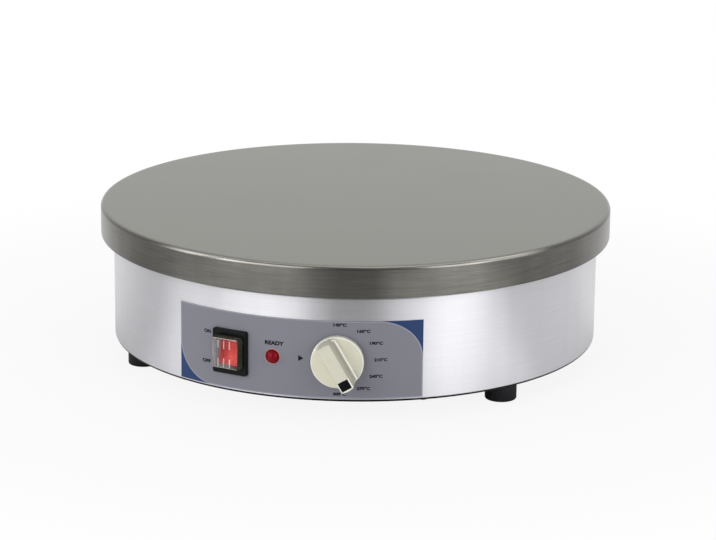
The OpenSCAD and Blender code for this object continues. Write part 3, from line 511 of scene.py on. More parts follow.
def dressed(piece, finish, *others):
    """Gives the piece its finish, and each further finish to the faces that pass its test."""
    piece.data.materials.clear()
    piece.data.materials.append(FINISHES[finish])
    for number, (other, test) in enumerate(others, 1):
        piece.data.materials.append(FINISHES[other])
        for face in piece.data.polygons:
            if test(face):
                face.material_index = number
    return piece


def finished(piece, body, slot, *nodes):
    """Gives the piece its body, and hides the nodes that it stands for.

    A piece that has no finish yet gets the one that its slot is named after.
    """
    if not any(piece.data.materials):
        dressed(piece, slot)
    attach(piece, body)
    if nodes:
        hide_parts(*nodes)
    return piece


def on_wall(angle, height, radius=LABEL_R, clock=0):
    """The place on the round wall: X to the right, Y up and Z outwards."""
    return (
        Matrix.Rotation(math.radians(angle), 4, "Z")
        @ Matrix.Translation((0, -radius * MM, height * MM))
        @ Matrix.Rotation(math.radians(90), 4, "X")
        @ Matrix.Rotation(math.radians(-clock), 4, "Z")
    )


def at_ring(radius, angle):
    """The place on a ring about Z, with its angle from the front."""
    turn = math.radians(angle)
    return Matrix.Translation((radius * MM * math.sin(turn), -radius * MM * math.cos(turn), 0))


def arc(middle, height, radius, start, end, steps):
    """Points of a profile's arc between two angles in degrees."""
    angles = [math.radians(start + (end - start) * step / steps) for step in range(steps + 1)]
    return [(middle + radius * math.cos(angle), height + radius * math.sin(angle)) for angle in angles]


# ---------- finishes ----------


class Finish:
    """One finish, built from nodes that read the object's own coordinates in millimetres."""

    def __init__(self, name, **sockets):
        self.material = bpy.data.materials.new(name)
        self.material.use_nodes = True
        self.tree = self.material.node_tree
        self.shader = self.tree.nodes["Principled BSDF"]
        for socket, value in sockets.items():
            self.set(socket.replace("_", " ").title().replace("Ior", "IOR"), value)
        scaled = self.add("ShaderNodeVectorMath", operation="SCALE")
        self.feed(scaled.inputs[0], self.add("ShaderNodeTexCoord").outputs["Object"])
        scaled.inputs["Scale"].default_value = 1 / MM
        self.place = scaled.outputs[0]
        self.x, self.y, self.z = self.split(self.place)

    def set(self, socket, value):
        """Sets one of the shader's sockets, or links a node's output to it."""
        if isinstance(value, bpy.types.NodeSocket):
            self.tree.links.new(value, self.shader.inputs[socket])
        elif socket.endswith(("Color", "Tint")):
            self.shader.inputs[socket].default_value = (*value[:3], 1)
        else:
            self.shader.inputs[socket].default_value = value

    def add(self, kind, **settings):
        """A new node with its settings."""
        made = self.tree.nodes.new(kind)
        for key, value in settings.items():
            setattr(made, key, value)
        return made

    def feed(self, socket, value):
        """Links an output to an input, or sets the input's number or colour."""
        if isinstance(value, bpy.types.NodeSocket):
            self.tree.links.new(value, socket)
        elif value is not None:
            socket.default_value = value

    def split(self, vector):
        """The three numbers of a vector."""
        made = self.add("ShaderNodeSeparateXYZ")
        self.feed(made.inputs[0], vector)
        return made.outputs[0], made.outputs[1], made.outputs[2]

    def math(self, operation, first, second=None):
        """Arithmetic on numbers."""
        made = self.add("ShaderNodeMath", operation=operation)
        self.feed(made.inputs[0], first)
        self.feed(made.inputs[1], second)
        return made.outputs[0]

    def plus(self, first, second):
        """The sum of two numbers."""
        return self.math("ADD", first, second)

    def times(self, first, second):
        """The product of two numbers."""
        return self.math("MULTIPLY", first, second)

    def length(self, first, second):
        """The length of a vector with these two numbers."""
        return self.math("SQRT", self.plus(self.math("POWER", first, 2.0), self.math("POWER", second, 2.0)))

    def combine(self, x, y, z):
        """A vector from three numbers."""
        made = self.add("ShaderNodeCombineXYZ")
        for socket, value in zip(made.inputs, (x, y, z)):
            self.feed(socket, value)
        return made.outputs[0]

    def noise(self, vector, scale=1.0, detail=2.0, roughness=0.5):
        """Noise between 0 and 1."""
        made = self.add("ShaderNodeTexNoise")
        self.feed(made.inputs["Vector"], vector)
        made.inputs["Scale"].default_value = scale
        made.inputs["Detail"].default_value = detail
        made.inputs["Roughness"].default_value = roughness
        return made.outputs["Fac"]

    def crystals(self, scale):
        """A number between 0 and 1 for each crystal."""
        made = self.add("ShaderNodeTexVoronoi")
        self.feed(made.inputs["Vector"], self.place)
        made.inputs["Scale"].default_value = scale
        return self.split(made.outputs["Color"])[0]

    def spread(self, value, low, high, start=0.0, end=1.0, kind="LINEAR"):
        """Goes from low to high while the value goes from start to end, and stays there."""
        made = self.add("ShaderNodeMapRange", interpolation_type=kind)
        for socket, number in zip(made.inputs, (value, start, end, low, high)):
            self.feed(socket, number)
        return made.outputs[0]

    def ease(self, value, low, high, start, end):
        """Like spread, with a soft start and end."""
        return self.spread(value, low, high, start, end, "SMOOTHSTEP")

    def mix(self, share, first, second):
        """A mix of two colours."""
        made = self.add("ShaderNodeMix", data_type="RGBA")
        self.feed(made.inputs[0], share)
        for socket, value in ((made.inputs[6], first), (made.inputs[7], second)):
            self.feed(socket, (*value, 1) if isinstance(value, tuple) else value)
        return made.outputs[2]

    def over(self, tone, other, value, share=1.0, start=0.0, end=1.0):
        """The tone with up to a share of another colour over it, while the value goes from start to end."""
        return self.mix(self.spread(value, 0.0, share, start, end), tone, other)

    def tones(self, value, colour, dark, light, start=0.3, end=0.7):
        """A colour from its darker to its lighter tone, while the value goes from start to end."""
        return self.mix(self.spread(value, 0.0, 1.0, start, end), shade(colour, dark), shade(colour, light))

    def bump(self, height, depth, strength=1.0):
        """Relief of a depth in millimetres."""
        made = self.add("ShaderNodeBump")
        made.inputs["Strength"].default_value = strength
        made.inputs["Distance"].default_value = depth * MM
        self.feed(made.inputs["Height"], height)
        self.set("Normal", made.outputs[0])

    def along(self, turns=LABEL_R):
        """How far a place lies round Z from the front: the angle in radians times the turns."""
        return self.times(self.math("ARCTAN2", self.x, self.times(self.y, -1.0)), turns)

    def out(self):
        """How far a place lies from the Z axis."""
        return self.length(self.x, self.y)

    def lap(self, stretch, height):
        """A place for noise that runs round the axis without a seam, stretched round it."""
        return self.combine(self.times(self.x, stretch), self.times(self.y, stretch), height)

    def stripes(self, along, narrow, tall):
        """Noise in stripes that stand up on the label."""
        place = self.combine(self.times(along, narrow), self.times(self.z, tall), 0.0)
        return self.noise(place)


def shade(colour, factor):
    """A lighter or darker version of a colour."""
    return tuple(min(1.0, channel * factor) for channel in colour)


def turned_iron(colour):
    """The rim of the cast iron plate, turned round, so that its light spreads up and down."""
    finish = Finish("turned_cast_iron", metallic=1.0, anisotropic=0.8, anisotropic_rotation=0.25)
    deep = finish.plus(finish.z, finish.out())
    fine = finish.noise(finish.lap(0.03, finish.times(deep, 2.6)), detail=3.0, roughness=0.7)
    lines = finish.noise(finish.lap(0.03, finish.times(deep, 0.9)), detail=3.0, roughness=0.65)
    streaks = finish.noise(finish.lap(0.075, finish.times(finish.z, 0.02)))
    tone = finish.tones(lines, colour, dark=0.76, light=1.24)
    tone = finish.over(tone, shade(colour, 1.35), fine, share=0.5, start=0.35, end=0.7)
    finish.set("Base Color", finish.over(tone, shade(colour, 0.8), streaks, share=0.4, start=0.3, end=0.7))
    rough = finish.spread(lines, 0.27, 0.32, 0.3, 0.7)
    finish.set("Roughness", finish.plus(rough, finish.spread(fine, -0.01, 0.02)))
    finish.bump(finish.plus(lines, finish.times(fine, 0.6)), depth=0.01)
    return finish.material


def painted_highlight_iron(colour):
    """The plate's rounded edge, with a painted highlight round its front and painted shade elsewhere."""
    finish = Finish("iron_edge_painted_highlight", metallic=1.0)
    # Painted highlight and painted shade set by the angle from the front: bright near it, brightest some 30
    # to 35 degrees off it, darker beyond
    offset = finish.math("ABSOLUTE", finish.math("SUBTRACT", finish.along(math.degrees(1)), EDGE_HIGHLIGHT_MIDDLE))
    highlight_noise = finish.noise(finish.lap(0.05, finish.z), detail=3.0, roughness=0.6)
    tone = finish.tones(highlight_noise, colour, dark=1.3, light=1.8)
    tone = finish.mix(finish.ease(offset, 0.0, 1.0, 22.0, 31.0), tone, shade(colour, 3.0))
    finish.set("Base Color", finish.mix(finish.ease(offset, 0.0, 1.0, 35.0, 48.0), tone, shade(colour, 0.6)))
    finish.set("Roughness", finish.spread(highlight_noise, 0.18, 0.26, 0.3, 0.7))
    finish.bump(highlight_noise, depth=0.005)
    return finish.material


def oiled_iron(colour):
    """The oiled top of the cast iron plate: satin, with a faint patina and turning rings."""
    finish = Finish("oiled_cast_iron", ior=2.0, specular_tint=(0.965, 0.98, 0.76))
    rings = finish.noise(finish.combine(0.0, finish.times(finish.out(), 1.3), 0.0), detail=4.0, roughness=0.7)
    patina = finish.noise(finish.place, scale=0.012, detail=4.0, roughness=0.55)
    pores = finish.noise(finish.place, scale=0.9)
    tone = finish.tones(patina, colour, dark=0.03, light=0.22)
    finish.set("Base Color", finish.over(tone, shade(colour, 0.34), rings, share=0.6, start=0.35, end=0.75))
    rough = finish.spread(patina, 0.16, 0.23, 0.3, 0.7)
    finish.set("Roughness", finish.plus(rough, finish.spread(pores, -0.015, 0.03)))
    finish.bump(finish.plus(rings, finish.times(pores, 0.3)), depth=0.005)
    return finish.material


def steel_band(colour):
    """Stainless steel brushed round the housing, with painted shade: a dark line on the underside of its
    rolled edge.
    """
    finish = Finish("brushed_stainless_steel", metallic=1.0, anisotropic=0.8, anisotropic_rotation=0.25)
    lines = finish.noise(finish.lap(0.03, finish.times(finish.z, 6.0)), detail=4.0, roughness=0.7)
    coarse = finish.noise(finish.lap(0.018, finish.z), detail=3.0, roughness=0.6)
    streaks = finish.noise(finish.lap(0.09, finish.times(finish.z, 0.004)))
    handled = finish.noise(finish.place, scale=0.02, detail=3.0)
    tone = finish.tones(lines, colour, dark=0.94, light=1.05, start=0.25, end=0.75)
    tone = finish.over(tone, shade(colour, 0.9), coarse, share=0.6, start=0.35, end=0.7)
    tone = finish.over(tone, shade(colour, 0.93), streaks, share=0.6, start=0.4, end=0.7)
    # Painted shade: near black below 16 mm and outside 187 mm from the axis
    under = finish.spread(finish.z, 1.0, 0.0, 15.9, 16.3)
    painted_shade_line = finish.times(under, finish.spread(finish.out(), 0.0, 1.0, 187.0, 188.0))
    finish.set("Base Color", finish.mix(painted_shade_line, tone, (0.018, 0.018, 0.014)))
    rough = finish.spread(lines, 0.36, 0.46, 0.2, 0.8)
    finish.set("Roughness", finish.plus(rough, finish.spread(handled, -0.015, 0.02)))
    finish.bump(lines, depth=0.004, strength=0.6)
    return finish.material


def label_film(grey, blue):
    """Printed polyester film with a blue corner at the upper right and one at the lower left."""
    finish = Finish("printed_label_film", ior=1.5, specular_ior_level=0.3)
    along = finish.along()
    curves = []
    for side, wide, tall in ((1, 34.0, 29.0), (-1, 31.0, 30.0)):
        middle = side * (LABEL_EDGE - wide)
        level = LABEL_HIGH - tall if side > 0 else LABEL_LOW + tall
        offset = [
            finish.math("MAXIMUM", finish.times(finish.math("SUBTRACT", value, start), side / reach), 0.0)
            for value, start, reach in ((along, middle, wide), (finish.z, level, tall))
        ]
        curves.append(finish.length(*offset))
    curve = finish.math("MAXIMUM", *curves)
    speckle = finish.noise(finish.place, scale=6.0, roughness=0.6)
    sheen = finish.noise(finish.place, scale=0.03)
    tone = finish.tones(speckle, grey, dark=0.95, light=1.05)
    tone = finish.over(tone, shade(grey, 1.04), sheen, share=0.4)
    edge = finish.over(tone, shade(grey, 1.9), curve, share=0.55, start=0.965, end=0.985)
    finish.set("Base Color", finish.over(edge, blue, curve, start=0.995, end=1.005))
    finish.set("Roughness", finish.spread(speckle, 0.34, 0.42))
    finish.bump(speckle, depth=0.01, strength=0.5)
    return finish.material


def plastic(name, colour, rough=0.35, grain=2.5, depth=0.01, drift=0.06, **sockets):
    """Moulded plastic: even colour with a slow drift and a fine skin."""
    finish = Finish(name, ior=1.5, **sockets)
    skin = finish.noise(finish.place, scale=grain, detail=3.0, roughness=0.6)
    slow = finish.noise(finish.place, scale=0.08)
    finish.set("Base Color", finish.tones(slow, colour, dark=1 - drift, light=1 + drift))
    finish.set("Roughness", finish.spread(skin, rough - 0.04, rough + 0.05, 0.25, 0.75))
    finish.bump(skin, depth=depth, strength=0.6)
    return finish.material


def rubber(name, colour):
    """Moulded rubber with dust in its skin."""
    finish = Finish(name, ior=1.5, specular_ior_level=0.3)
    skin = finish.noise(finish.place, scale=1.6, detail=4.0, roughness=0.7)
    dust = finish.noise(finish.place, scale=0.15, detail=3.0, roughness=0.6)
    finish.set("Base Color", finish.over(colour, shade(colour, 3.0), dust, share=0.35, start=0.45, end=0.8))
    finish.set("Roughness", finish.spread(skin, 0.4, 0.58, 0.3, 0.7))
    finish.bump(skin, depth=0.03, strength=0.6)
    return finish.material


def plated(name, colour, hue, rough=0.3):
    """Plated or drawn metal: small drifts of colour and brightness."""
    finish = Finish(name, metallic=1.0)
    cloud = finish.noise(finish.place, scale=0.25, detail=3.0, roughness=0.6)
    fine = finish.noise(finish.place, scale=3.0, detail=3.0, roughness=0.6)
    tone = finish.over(colour, hue, cloud, share=0.5, start=0.4, end=0.7)
    finish.set("Base Color", finish.over(tone, shade(colour, 0.75), fine, share=0.5, start=0.4, end=0.8))
    finish.set("Roughness", finish.spread(fine, rough - 0.06, rough + 0.12, 0.3, 0.7))
    finish.bump(fine, depth=0.01, strength=0.4)
    return finish.material


def spangled(name, colour):
    """Aluminised sheet: faint crystal spangle."""
    finish = Finish(name, metallic=1.0)
    level = finish.crystals(scale=0.16)
    fine = finish.noise(finish.place, scale=1.5, detail=3.0, roughness=0.6)
    finish.set("Base Color", finish.mix(level, shade(colour, 0.86), shade(colour, 1.05)))
    finish.set("Roughness", finish.plus(finish.spread(level, 0.28, 0.42), finish.spread(fine, -0.03, 0.05)))
    finish.bump(fine, depth=0.01, strength=0.4)
    return finish.material


def heated_steel(name):
    """Heater tube: dull steel, browned where it runs hot."""
    finish = Finish(name, metallic=1.0)
    heat = finish.ease(finish.z, 0.0, 1.0, 75.0, 100.0)
    cloud = finish.noise(finish.place, scale=0.12, detail=4.0, roughness=0.6)
    fine = finish.noise(finish.place, scale=2.0, detail=3.0, roughness=0.6)
    browned = finish.over((0.20, 0.15, 0.11), (0.11, 0.10, 0.10), cloud, start=0.35, end=0.65)
    finish.set("Base Color", finish.mix(heat, (0.42, 0.41, 0.39), browned))
    finish.set("Roughness", finish.spread(fine, 0.34, 0.55, 0.3, 0.7))
    finish.bump(fine, depth=0.02, strength=0.5)
    return finish.material


def fibre_board(name, colour):
    """Insulation board: pressed fibres."""
    finish = Finish(name, roughness=0.9)
    numbers = zip((finish.x, finish.y, finish.z), (0.5, 2.2, 1.2))
    stretched = finish.combine(*(finish.times(number, stretch) for number, stretch in numbers))
    fibres = finish.noise(stretched, detail=5.0, roughness=0.75)
    patches = finish.noise(finish.place, scale=0.03, detail=3.0)
    tone = finish.tones(fibres, colour, dark=0.8, light=1.08)
    finish.set("Base Color", finish.over(tone, shade(colour, 0.82), patches, share=0.4, start=0.45, end=0.7))
    finish.bump(fibres, depth=0.25, strength=0.7)
    return finish.material


def clear_plastic(name, colour, front, edge, milk=0.0, shine=0.25):
    """Soft clear plastic: see-through from the front, and milky towards its left side and its foot."""
    finish = Finish(name, ior=1.45, specular_ior_level=shine)
    along = finish.along()
    middle, level = math.radians(SWITCH_AT[0]) * LABEL_R, SWITCH_AT[1]
    haze = finish.noise(finish.place, scale=0.4, detail=3.0, roughness=0.6)
    streaks = finish.stripes(along, narrow=0.8, tall=0.06)
    finish.set("Base Color", finish.tones(streaks, colour, dark=0.75, light=1.3, start=0.35, end=0.65))
    finish.set("Roughness", finish.spread(haze, 0.08, 0.16, 0.3, 0.7))
    clear = finish.spread(finish.add("ShaderNodeLayerWeight").outputs["Facing"], front, edge, 0.62, 0.97)
    if milk:
        left = finish.spread(along, milk, 0.0, middle - 9.5, middle - 2.0)
        foot = finish.spread(finish.z, milk, 0.0, level - 10.5, level - 6.0)
        foot = finish.times(foot, finish.spread(along, 1.0, 0.2, middle, middle + 8.0))
        clear = finish.math("MAXIMUM", finish.math("MAXIMUM", clear, left), foot)
    finish.set("Alpha", clear)
    finish.bump(haze, depth=0.03, strength=0.5)
    return finish.material


def rocker_plastic(name, colour):
    """Red plastic of the rocker, with a painted shadow that darkens it towards its right end."""
    finish = Finish(name, ior=1.5, specular_ior_level=0.3)
    along = finish.along()
    middle = math.radians(SWITCH_AT[0]) * LABEL_R
    skin = finish.noise(finish.place, scale=2.5, detail=3.0, roughness=0.6)
    stripes = finish.stripes(along, narrow=0.35, tall=0.08)
    tone = finish.tones(stripes, colour, dark=0.8, light=1.13, start=0.35, end=0.65)
    # Painted shadow: the rocker's colour darkens to a tenth towards its right end
    deep = finish.spread(along, 0.0, 1.0, middle + 8.0, middle + 10.4)
    finish.set("Base Color", finish.mix(deep, tone, shade(colour, 0.1)))
    finish.set("Roughness", finish.spread(skin, 0.26, 0.35, 0.25, 0.75))
    finish.bump(skin, depth=0.006, strength=0.6)
    return finish.material


def red_lens(name, colour):
    """Red plastic of the lamp's lens, with painted shade that darkens it towards its rim as the view grazes
    it.
    """
    finish = Finish(name, ior=1.5, specular_ior_level=0.16)
    depth = finish.noise(finish.place, scale=0.5)
    # Painted shade: darker where the lens turns away from the view
    rim = finish.add("ShaderNodeLayerWeight").outputs["Facing"]
    tone = finish.tones(depth, colour, dark=0.85, light=1.1)
    finish.set("Base Color", finish.over(tone, shade(colour, 0.35), rim, share=0.8, start=0.3, end=0.9))
    finish.set("Roughness", finish.spread(depth, 0.16, 0.24))
    return finish.material


def earth_wire(name):
    """Green wire cover with a yellow stripe."""
    finish = Finish(name, ior=1.5, roughness=0.45)
    slant = finish.plus(finish.z, finish.times(finish.y, 0.3))
    wave = finish.math("SINE", finish.times(slant, 2.2))
    skin = finish.noise(finish.place, scale=1.5, detail=3.0, roughness=0.6)
    stripe = finish.spread(wave, 0.0, 1.0, -0.1, 0.1)
    finish.set("Base Color", finish.mix(stripe, (0.02, 0.25, 0.04), (0.75, 0.60, 0.03)))
    finish.set("Roughness", finish.spread(skin, 0.4, 0.52))
    finish.bump(skin, depth=0.02, strength=0.5)
    return finish.material


FINISHES = {}


def make_finishes(colours):
    """Builds every finish once and keeps it under its own key. A node's slot is named after its finish."""
    iron, ivory = tuple(colours.iron), tuple(colours.ivory)
    ivory_skin = {"grain": 2.2, "depth": 0.008, "drift": 0.025}
    wire_skin = {"rough": 0.45, "grain": 1.5, "depth": 0.02, "drift": 0.08}
    matt = {"specular_ior_level": 0.12}
    FINISHES.update({
        "cast_iron_plate": turned_iron(iron),
        # Painted highlight and painted shade on the plate's rounded edge
        "cast_iron_painted_highlight": painted_highlight_iron(iron),
        "cast_iron_top": oiled_iron(iron),
        "stainless_band": steel_band(tuple(colours.band)),
        "label_film": label_film(tuple(colours.label), tuple(colours.corner)),
        "label_print": plastic(
            "dark_print", tuple(colours.print), rough=0.45, grain=3.0, depth=0.004, specular_ior_level=0.1
        ),
        "black_plastic": plastic(
            "black_moulded_plastic", tuple(colours.black),
            rough=0.3, grain=1.8, depth=0.008, drift=0.2, **matt,
        ),
        "red_rocker": rocker_plastic("red_moulded_plastic", tuple(colours.rocker)),
        "clear_cover": clear_plastic(
            "clear_soft_plastic", (0.36, 0.345, 0.36), front=0.03, edge=0.5, milk=0.62
        ),
        # Painted shade: nearly black, nearly opaque walls on the cover
        "clear_walls_painted_shade": clear_plastic(
            "dark_wall_plastic_painted_shade", (0.05, 0.05, 0.038), front=0.86, edge=0.95, shine=0.05
        ),
        # Painted highlight: pale ribs and edges on the cover
        "clear_ribs": clear_plastic("clear_plastic_ribs", (0.70, 0.66, 0.62), front=0.6, edge=0.8),
        "red_lens": red_lens("clear_red_plastic", tuple(colours.lens)),
        "lamp_ring": plastic("pale_pink_plastic", (0.62, 0.40, 0.42)),
        "ivory_plastic": plastic("ivory_moulded_plastic", ivory, rough=0.36, **ivory_skin),
        # Painted shade on the knob's grip and walls, painted light on its disc and a painted highlight on its
        # edges
        "ivory_grip": plastic("ivory_painted_shade_grip", shade(ivory, 0.93), rough=0.36, **ivory_skin),
        "ivory_walls_painted_shade": plastic("ivory_painted_shade_walls", shade(ivory, 0.72), rough=0.4, **ivory_skin),
        "ivory_disc_painted_light": plastic("ivory_painted_light_disc", shade(ivory, 1.1), rough=0.36, **ivory_skin),
        "ivory_edges_painted_highlight": plastic(
            "ivory_painted_highlight_edges", (0.97, 0.96, 0.89),
            rough=0.24, grain=2.2, depth=0.008, drift=0.02, specular_ior_level=1.0,
        ),
        "pointer_black": plastic("black_inlay", (0.004, 0.004, 0.005), rough=0.4, **matt),
        "foot_rubber": rubber("black_foot_rubber", tuple(colours.rubber)),
        "seal_rubber": rubber("grey_seal_rubber", (0.05, 0.05, 0.052)),
        "zinc_steel": plated("zinc_plated_steel", (0.66, 0.68, 0.70), (0.74, 0.72, 0.60)),
        "aluminised_steel": spangled("aluminised_sheet", (0.72, 0.73, 0.74)),
        "element_steel": heated_steel("heater_tube_steel"),
        "fibre_board": fibre_board("pressed_fibre_board", (0.72, 0.66, 0.54)),
        "thermostat_moulding": plastic(
            "cream_phenolic", (0.52, 0.46, 0.36), rough=0.5, grain=1.4, depth=0.02, drift=0.1
        ),
        "terminal_nylon": plastic("natural_nylon", (0.74, 0.72, 0.64), rough=0.42, grain=2.0, drift=0.04),
        "brass_parts": plated("machined_brass", (0.72, 0.53, 0.22), (0.60, 0.40, 0.16), rough=0.26),
        "copper_tube": plated("drawn_copper", (0.80, 0.44, 0.30), (0.50, 0.26, 0.18), rough=0.28),
        "wire_live": plastic("brown_wire_cover", (0.13, 0.05, 0.02), **wire_skin),
        "wire_neutral": plastic("blue_wire_cover", (0.02, 0.09, 0.42), **wire_skin),
        "lead_red": plastic("red_wire_cover", (0.5, 0.02, 0.02), **wire_skin),
        "wire_earth": earth_wire("green_yellow_wire_cover"),
    })


# ---------- the pieces ----------


class PieceOperator(bpy.types.Operator):
    """What the operators share."""

    bl_options = {"REGISTER", "UNDO"}


class CREPE_OT_finishes(PieceOperator):
    """Makes the finishes and gives them to the nodes that keep their shape"""

    bl_idname = "crepe.finishes"
    bl_label = "Finishes"

    def execute(self, context):
        make_finishes(context.scene.crepe_colours)
        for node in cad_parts.values():
            for slot in node.material_slots:
                slot.material = FINISHES[slot.material.name.split(".")[0]]
        return {"FINISHED"}


class CREPE_OT_griddle(PieceOperator):
    """Turns the cast iron plate"""

    bl_idname = "crepe.griddle"
    bl_label = "Griddle"

    def execute(self, context):
        sizes = context.scene.crepe_griddle
        bottom, top, ceiling = GRIDDLE_BOTTOM * MM, GRIDDLE_TOP * MM, CEILING * MM
        cavity, bevel = CAVITY_R * MM, sizes.ceiling_bevel
        low, high = sizes.foot_fillet, sizes.fillet
        profile = [(0, ceiling), (cavity - bevel, ceiling), (cavity, ceiling - bevel), (cavity, bottom)]
        profile += arc(sizes.radius - low, bottom + low, low, -90, 0, steps=4)
        profile += arc(sizes.radius - high, top - high, high, 0, 90, steps=10)
        profile += [(sizes.radius * 0.97, top), (0, top)]
        parts = [turned("griddle", profile, sides=320)]
        for ring, radius, foot, angles in GRIDDLE_BOSSES:
            boss = rod("boss", radius * MM, foot * MM, ceiling + MM, sides=48)
            round_rim(boss, foot * MM, radius=0.5 * MM, rounds=3)
            parts += [copy_of(boss, "boss", at_ring(ring, angle)) for angle in angles]
            bpy.data.objects.remove(boss)
        griddle = smooth(joined("griddle", parts))
        # The plate's edge between these heights gets the painted highlight
        highlight_low, highlight_high, oiled = top - high * 0.9, top - high * 0.22, top - 0.2 * MM
        dressed(
            griddle, "cast_iron_plate",
            ("cast_iron_painted_highlight", lambda face: highlight_low < face.center.z < highlight_high),
            ("cast_iron_top", lambda face: face.center.z > oiled),
        )
        finished(griddle, MAIN, "cast_iron_plate", "griddle_plate")
        return {"FINISHED"}


class CREPE_OT_switch(PieceOperator):
    """Models the switch frame with its body, and the rocker"""

    bl_idname = "crepe.switch"
    bl_label = "Switch"

    def execute(self, context):
        sizes = context.scene.crepe_switch
        place = on_wall(*SWITCH_AT)
        housing = self.frame_with_body(sizes)
        self.hollow(housing, sizes)
        finished(settle(smooth(tidy(housing)), place), MAIN, "black_plastic", "switch_housing")
        rocker = self.rocker(sizes)
        finished(settle(smooth(rocker), place), ROCKER, "red_rocker", "switch_rocker")
        return {"FINISHED"}

    def frame_with_body(self, sizes):
        """The frame, fitted to the round label, with the body behind it."""
        front, behind, reach = sizes.thickness, -2 * MM, 50 * MM
        housing = slab("switch_frame", sizes.width, sizes.height, behind, front, sizes.corner)
        round_rim(housing, front, sizes.edge)
        wall = rod("wall", LABEL_R * MM, -reach, reach, sides=512)
        settle(wall, Matrix.Translation((0, 0, -LABEL_R * MM)) @ Matrix.Rotation(math.radians(90), 4, "X"))
        carved(housing, wall)
        width, height, back = sizes.body_width, sizes.body_height, -sizes.body_depth
        return fused(housing, slab("body", width, height, back, MM, corner=0.6 * MM, rounds=3))

    def hollow(self, housing, sizes):
        """Cuts the opening and the rocker's round well, and rounds the opening's edges."""
        front, lip, pin = sizes.thickness, sizes.thickness - sizes.lip_depth, -sizes.pin_depth
        width, length = sizes.well_width, 2 * sizes.well_radius
        half, clear = width / 2, front + 20 * MM
        well = slab("well", width, length, pin, lip, corner=0.5 * MM, rounds=3)
        opening = slab("opening", width, sizes.lip_height, 0, front + MM, corner=0.6 * MM, rounds=3)
        across = Matrix.Translation((0, 0, pin)) @ Matrix.Rotation(math.radians(90), 4, "Y")
        round_well = rod("round_well", sizes.well_radius, -half, half, sides=96, place=across)
        carved(round_well, slab("above", width + MM, length + MM, lip, clear))
        carved(housing, well, opening, round_well)
        lip_x, lip_y = half + MM, sizes.well_radius + MM
        with editing(housing, "EDGE"):
            pick_edges(
                housing,
                lambda a, b: near(a.z, front) and near(b.z, front)
                and max(abs(a.x), abs(b.x)) < lip_x and max(abs(a.y), abs(b.y)) < lip_y,
            )
            bpy.ops.mesh.bevel(offset=0.3 * MM, segments=3, affect="EDGES")

    def rocker(self, sizes):
        """The rocker: a dished face between two round ends, on its pin."""
        pin, radius, level = -sizes.pin_depth, sizes.rocker_radius, sizes.rocker_face
        slope = math.tan(math.radians(ROCKER_TRAVEL))
        top = math.asin((level - pin) / radius)
        back = math.asin((-sizes.rocker_back - pin) / radius)
        raised = self.raised_end(pin, radius, level, slope)
        outline = [(radius * math.cos(top) * 0.98, level)]
        blend, blend_steps, end_steps = 5 * MM, 8, 10
        for step in range(blend_steps + 1):
            share = step / blend_steps
            outline.append((blend * (1 - 2 * share), level + blend * slope * share * share))
        for first, last in ((raised, math.pi - back), (back, top)):
            angles = [first + (last - first) * step / end_steps for step in range(end_steps + 1)]
            outline += [(radius * math.cos(angle), pin + radius * math.sin(angle)) for angle in angles]
        outline.pop()
        half = sizes.rocker_width / 2
        points = [Vector((-half, along, out)) for along, out in outline]
        piece = prism("rocker_cap", points, (sizes.rocker_width, 0, 0))
        with editing(piece, "EDGE"):
            pick_edges(piece, lambda a, b: near(abs(a.x), half) and near(a.x, b.x))
            bpy.ops.mesh.bevel(offset=0.5 * MM, segments=3, affect="EDGES")
        across = Matrix.Translation((0, 0, pin)) @ Matrix.Rotation(math.radians(90), 4, "Y")
        pin_radius, pin_end = 1.5 * MM, half + 0.9 * MM
        return fused(piece, rod("pin", pin_radius, -pin_end, pin_end, sides=32, place=across))

    def raised_end(self, pin, radius, level, slope):
        """The angle about the pin, in radians, where the face's raised half meets the round end."""
        for step in range(1, 900):
            angle = math.radians(180 - step / 10)
            if pin + radius * math.sin(angle) > level - radius * math.cos(angle) * slope:
                return angle
        raise ValueError("The rocker's face doesn't meet its round end")


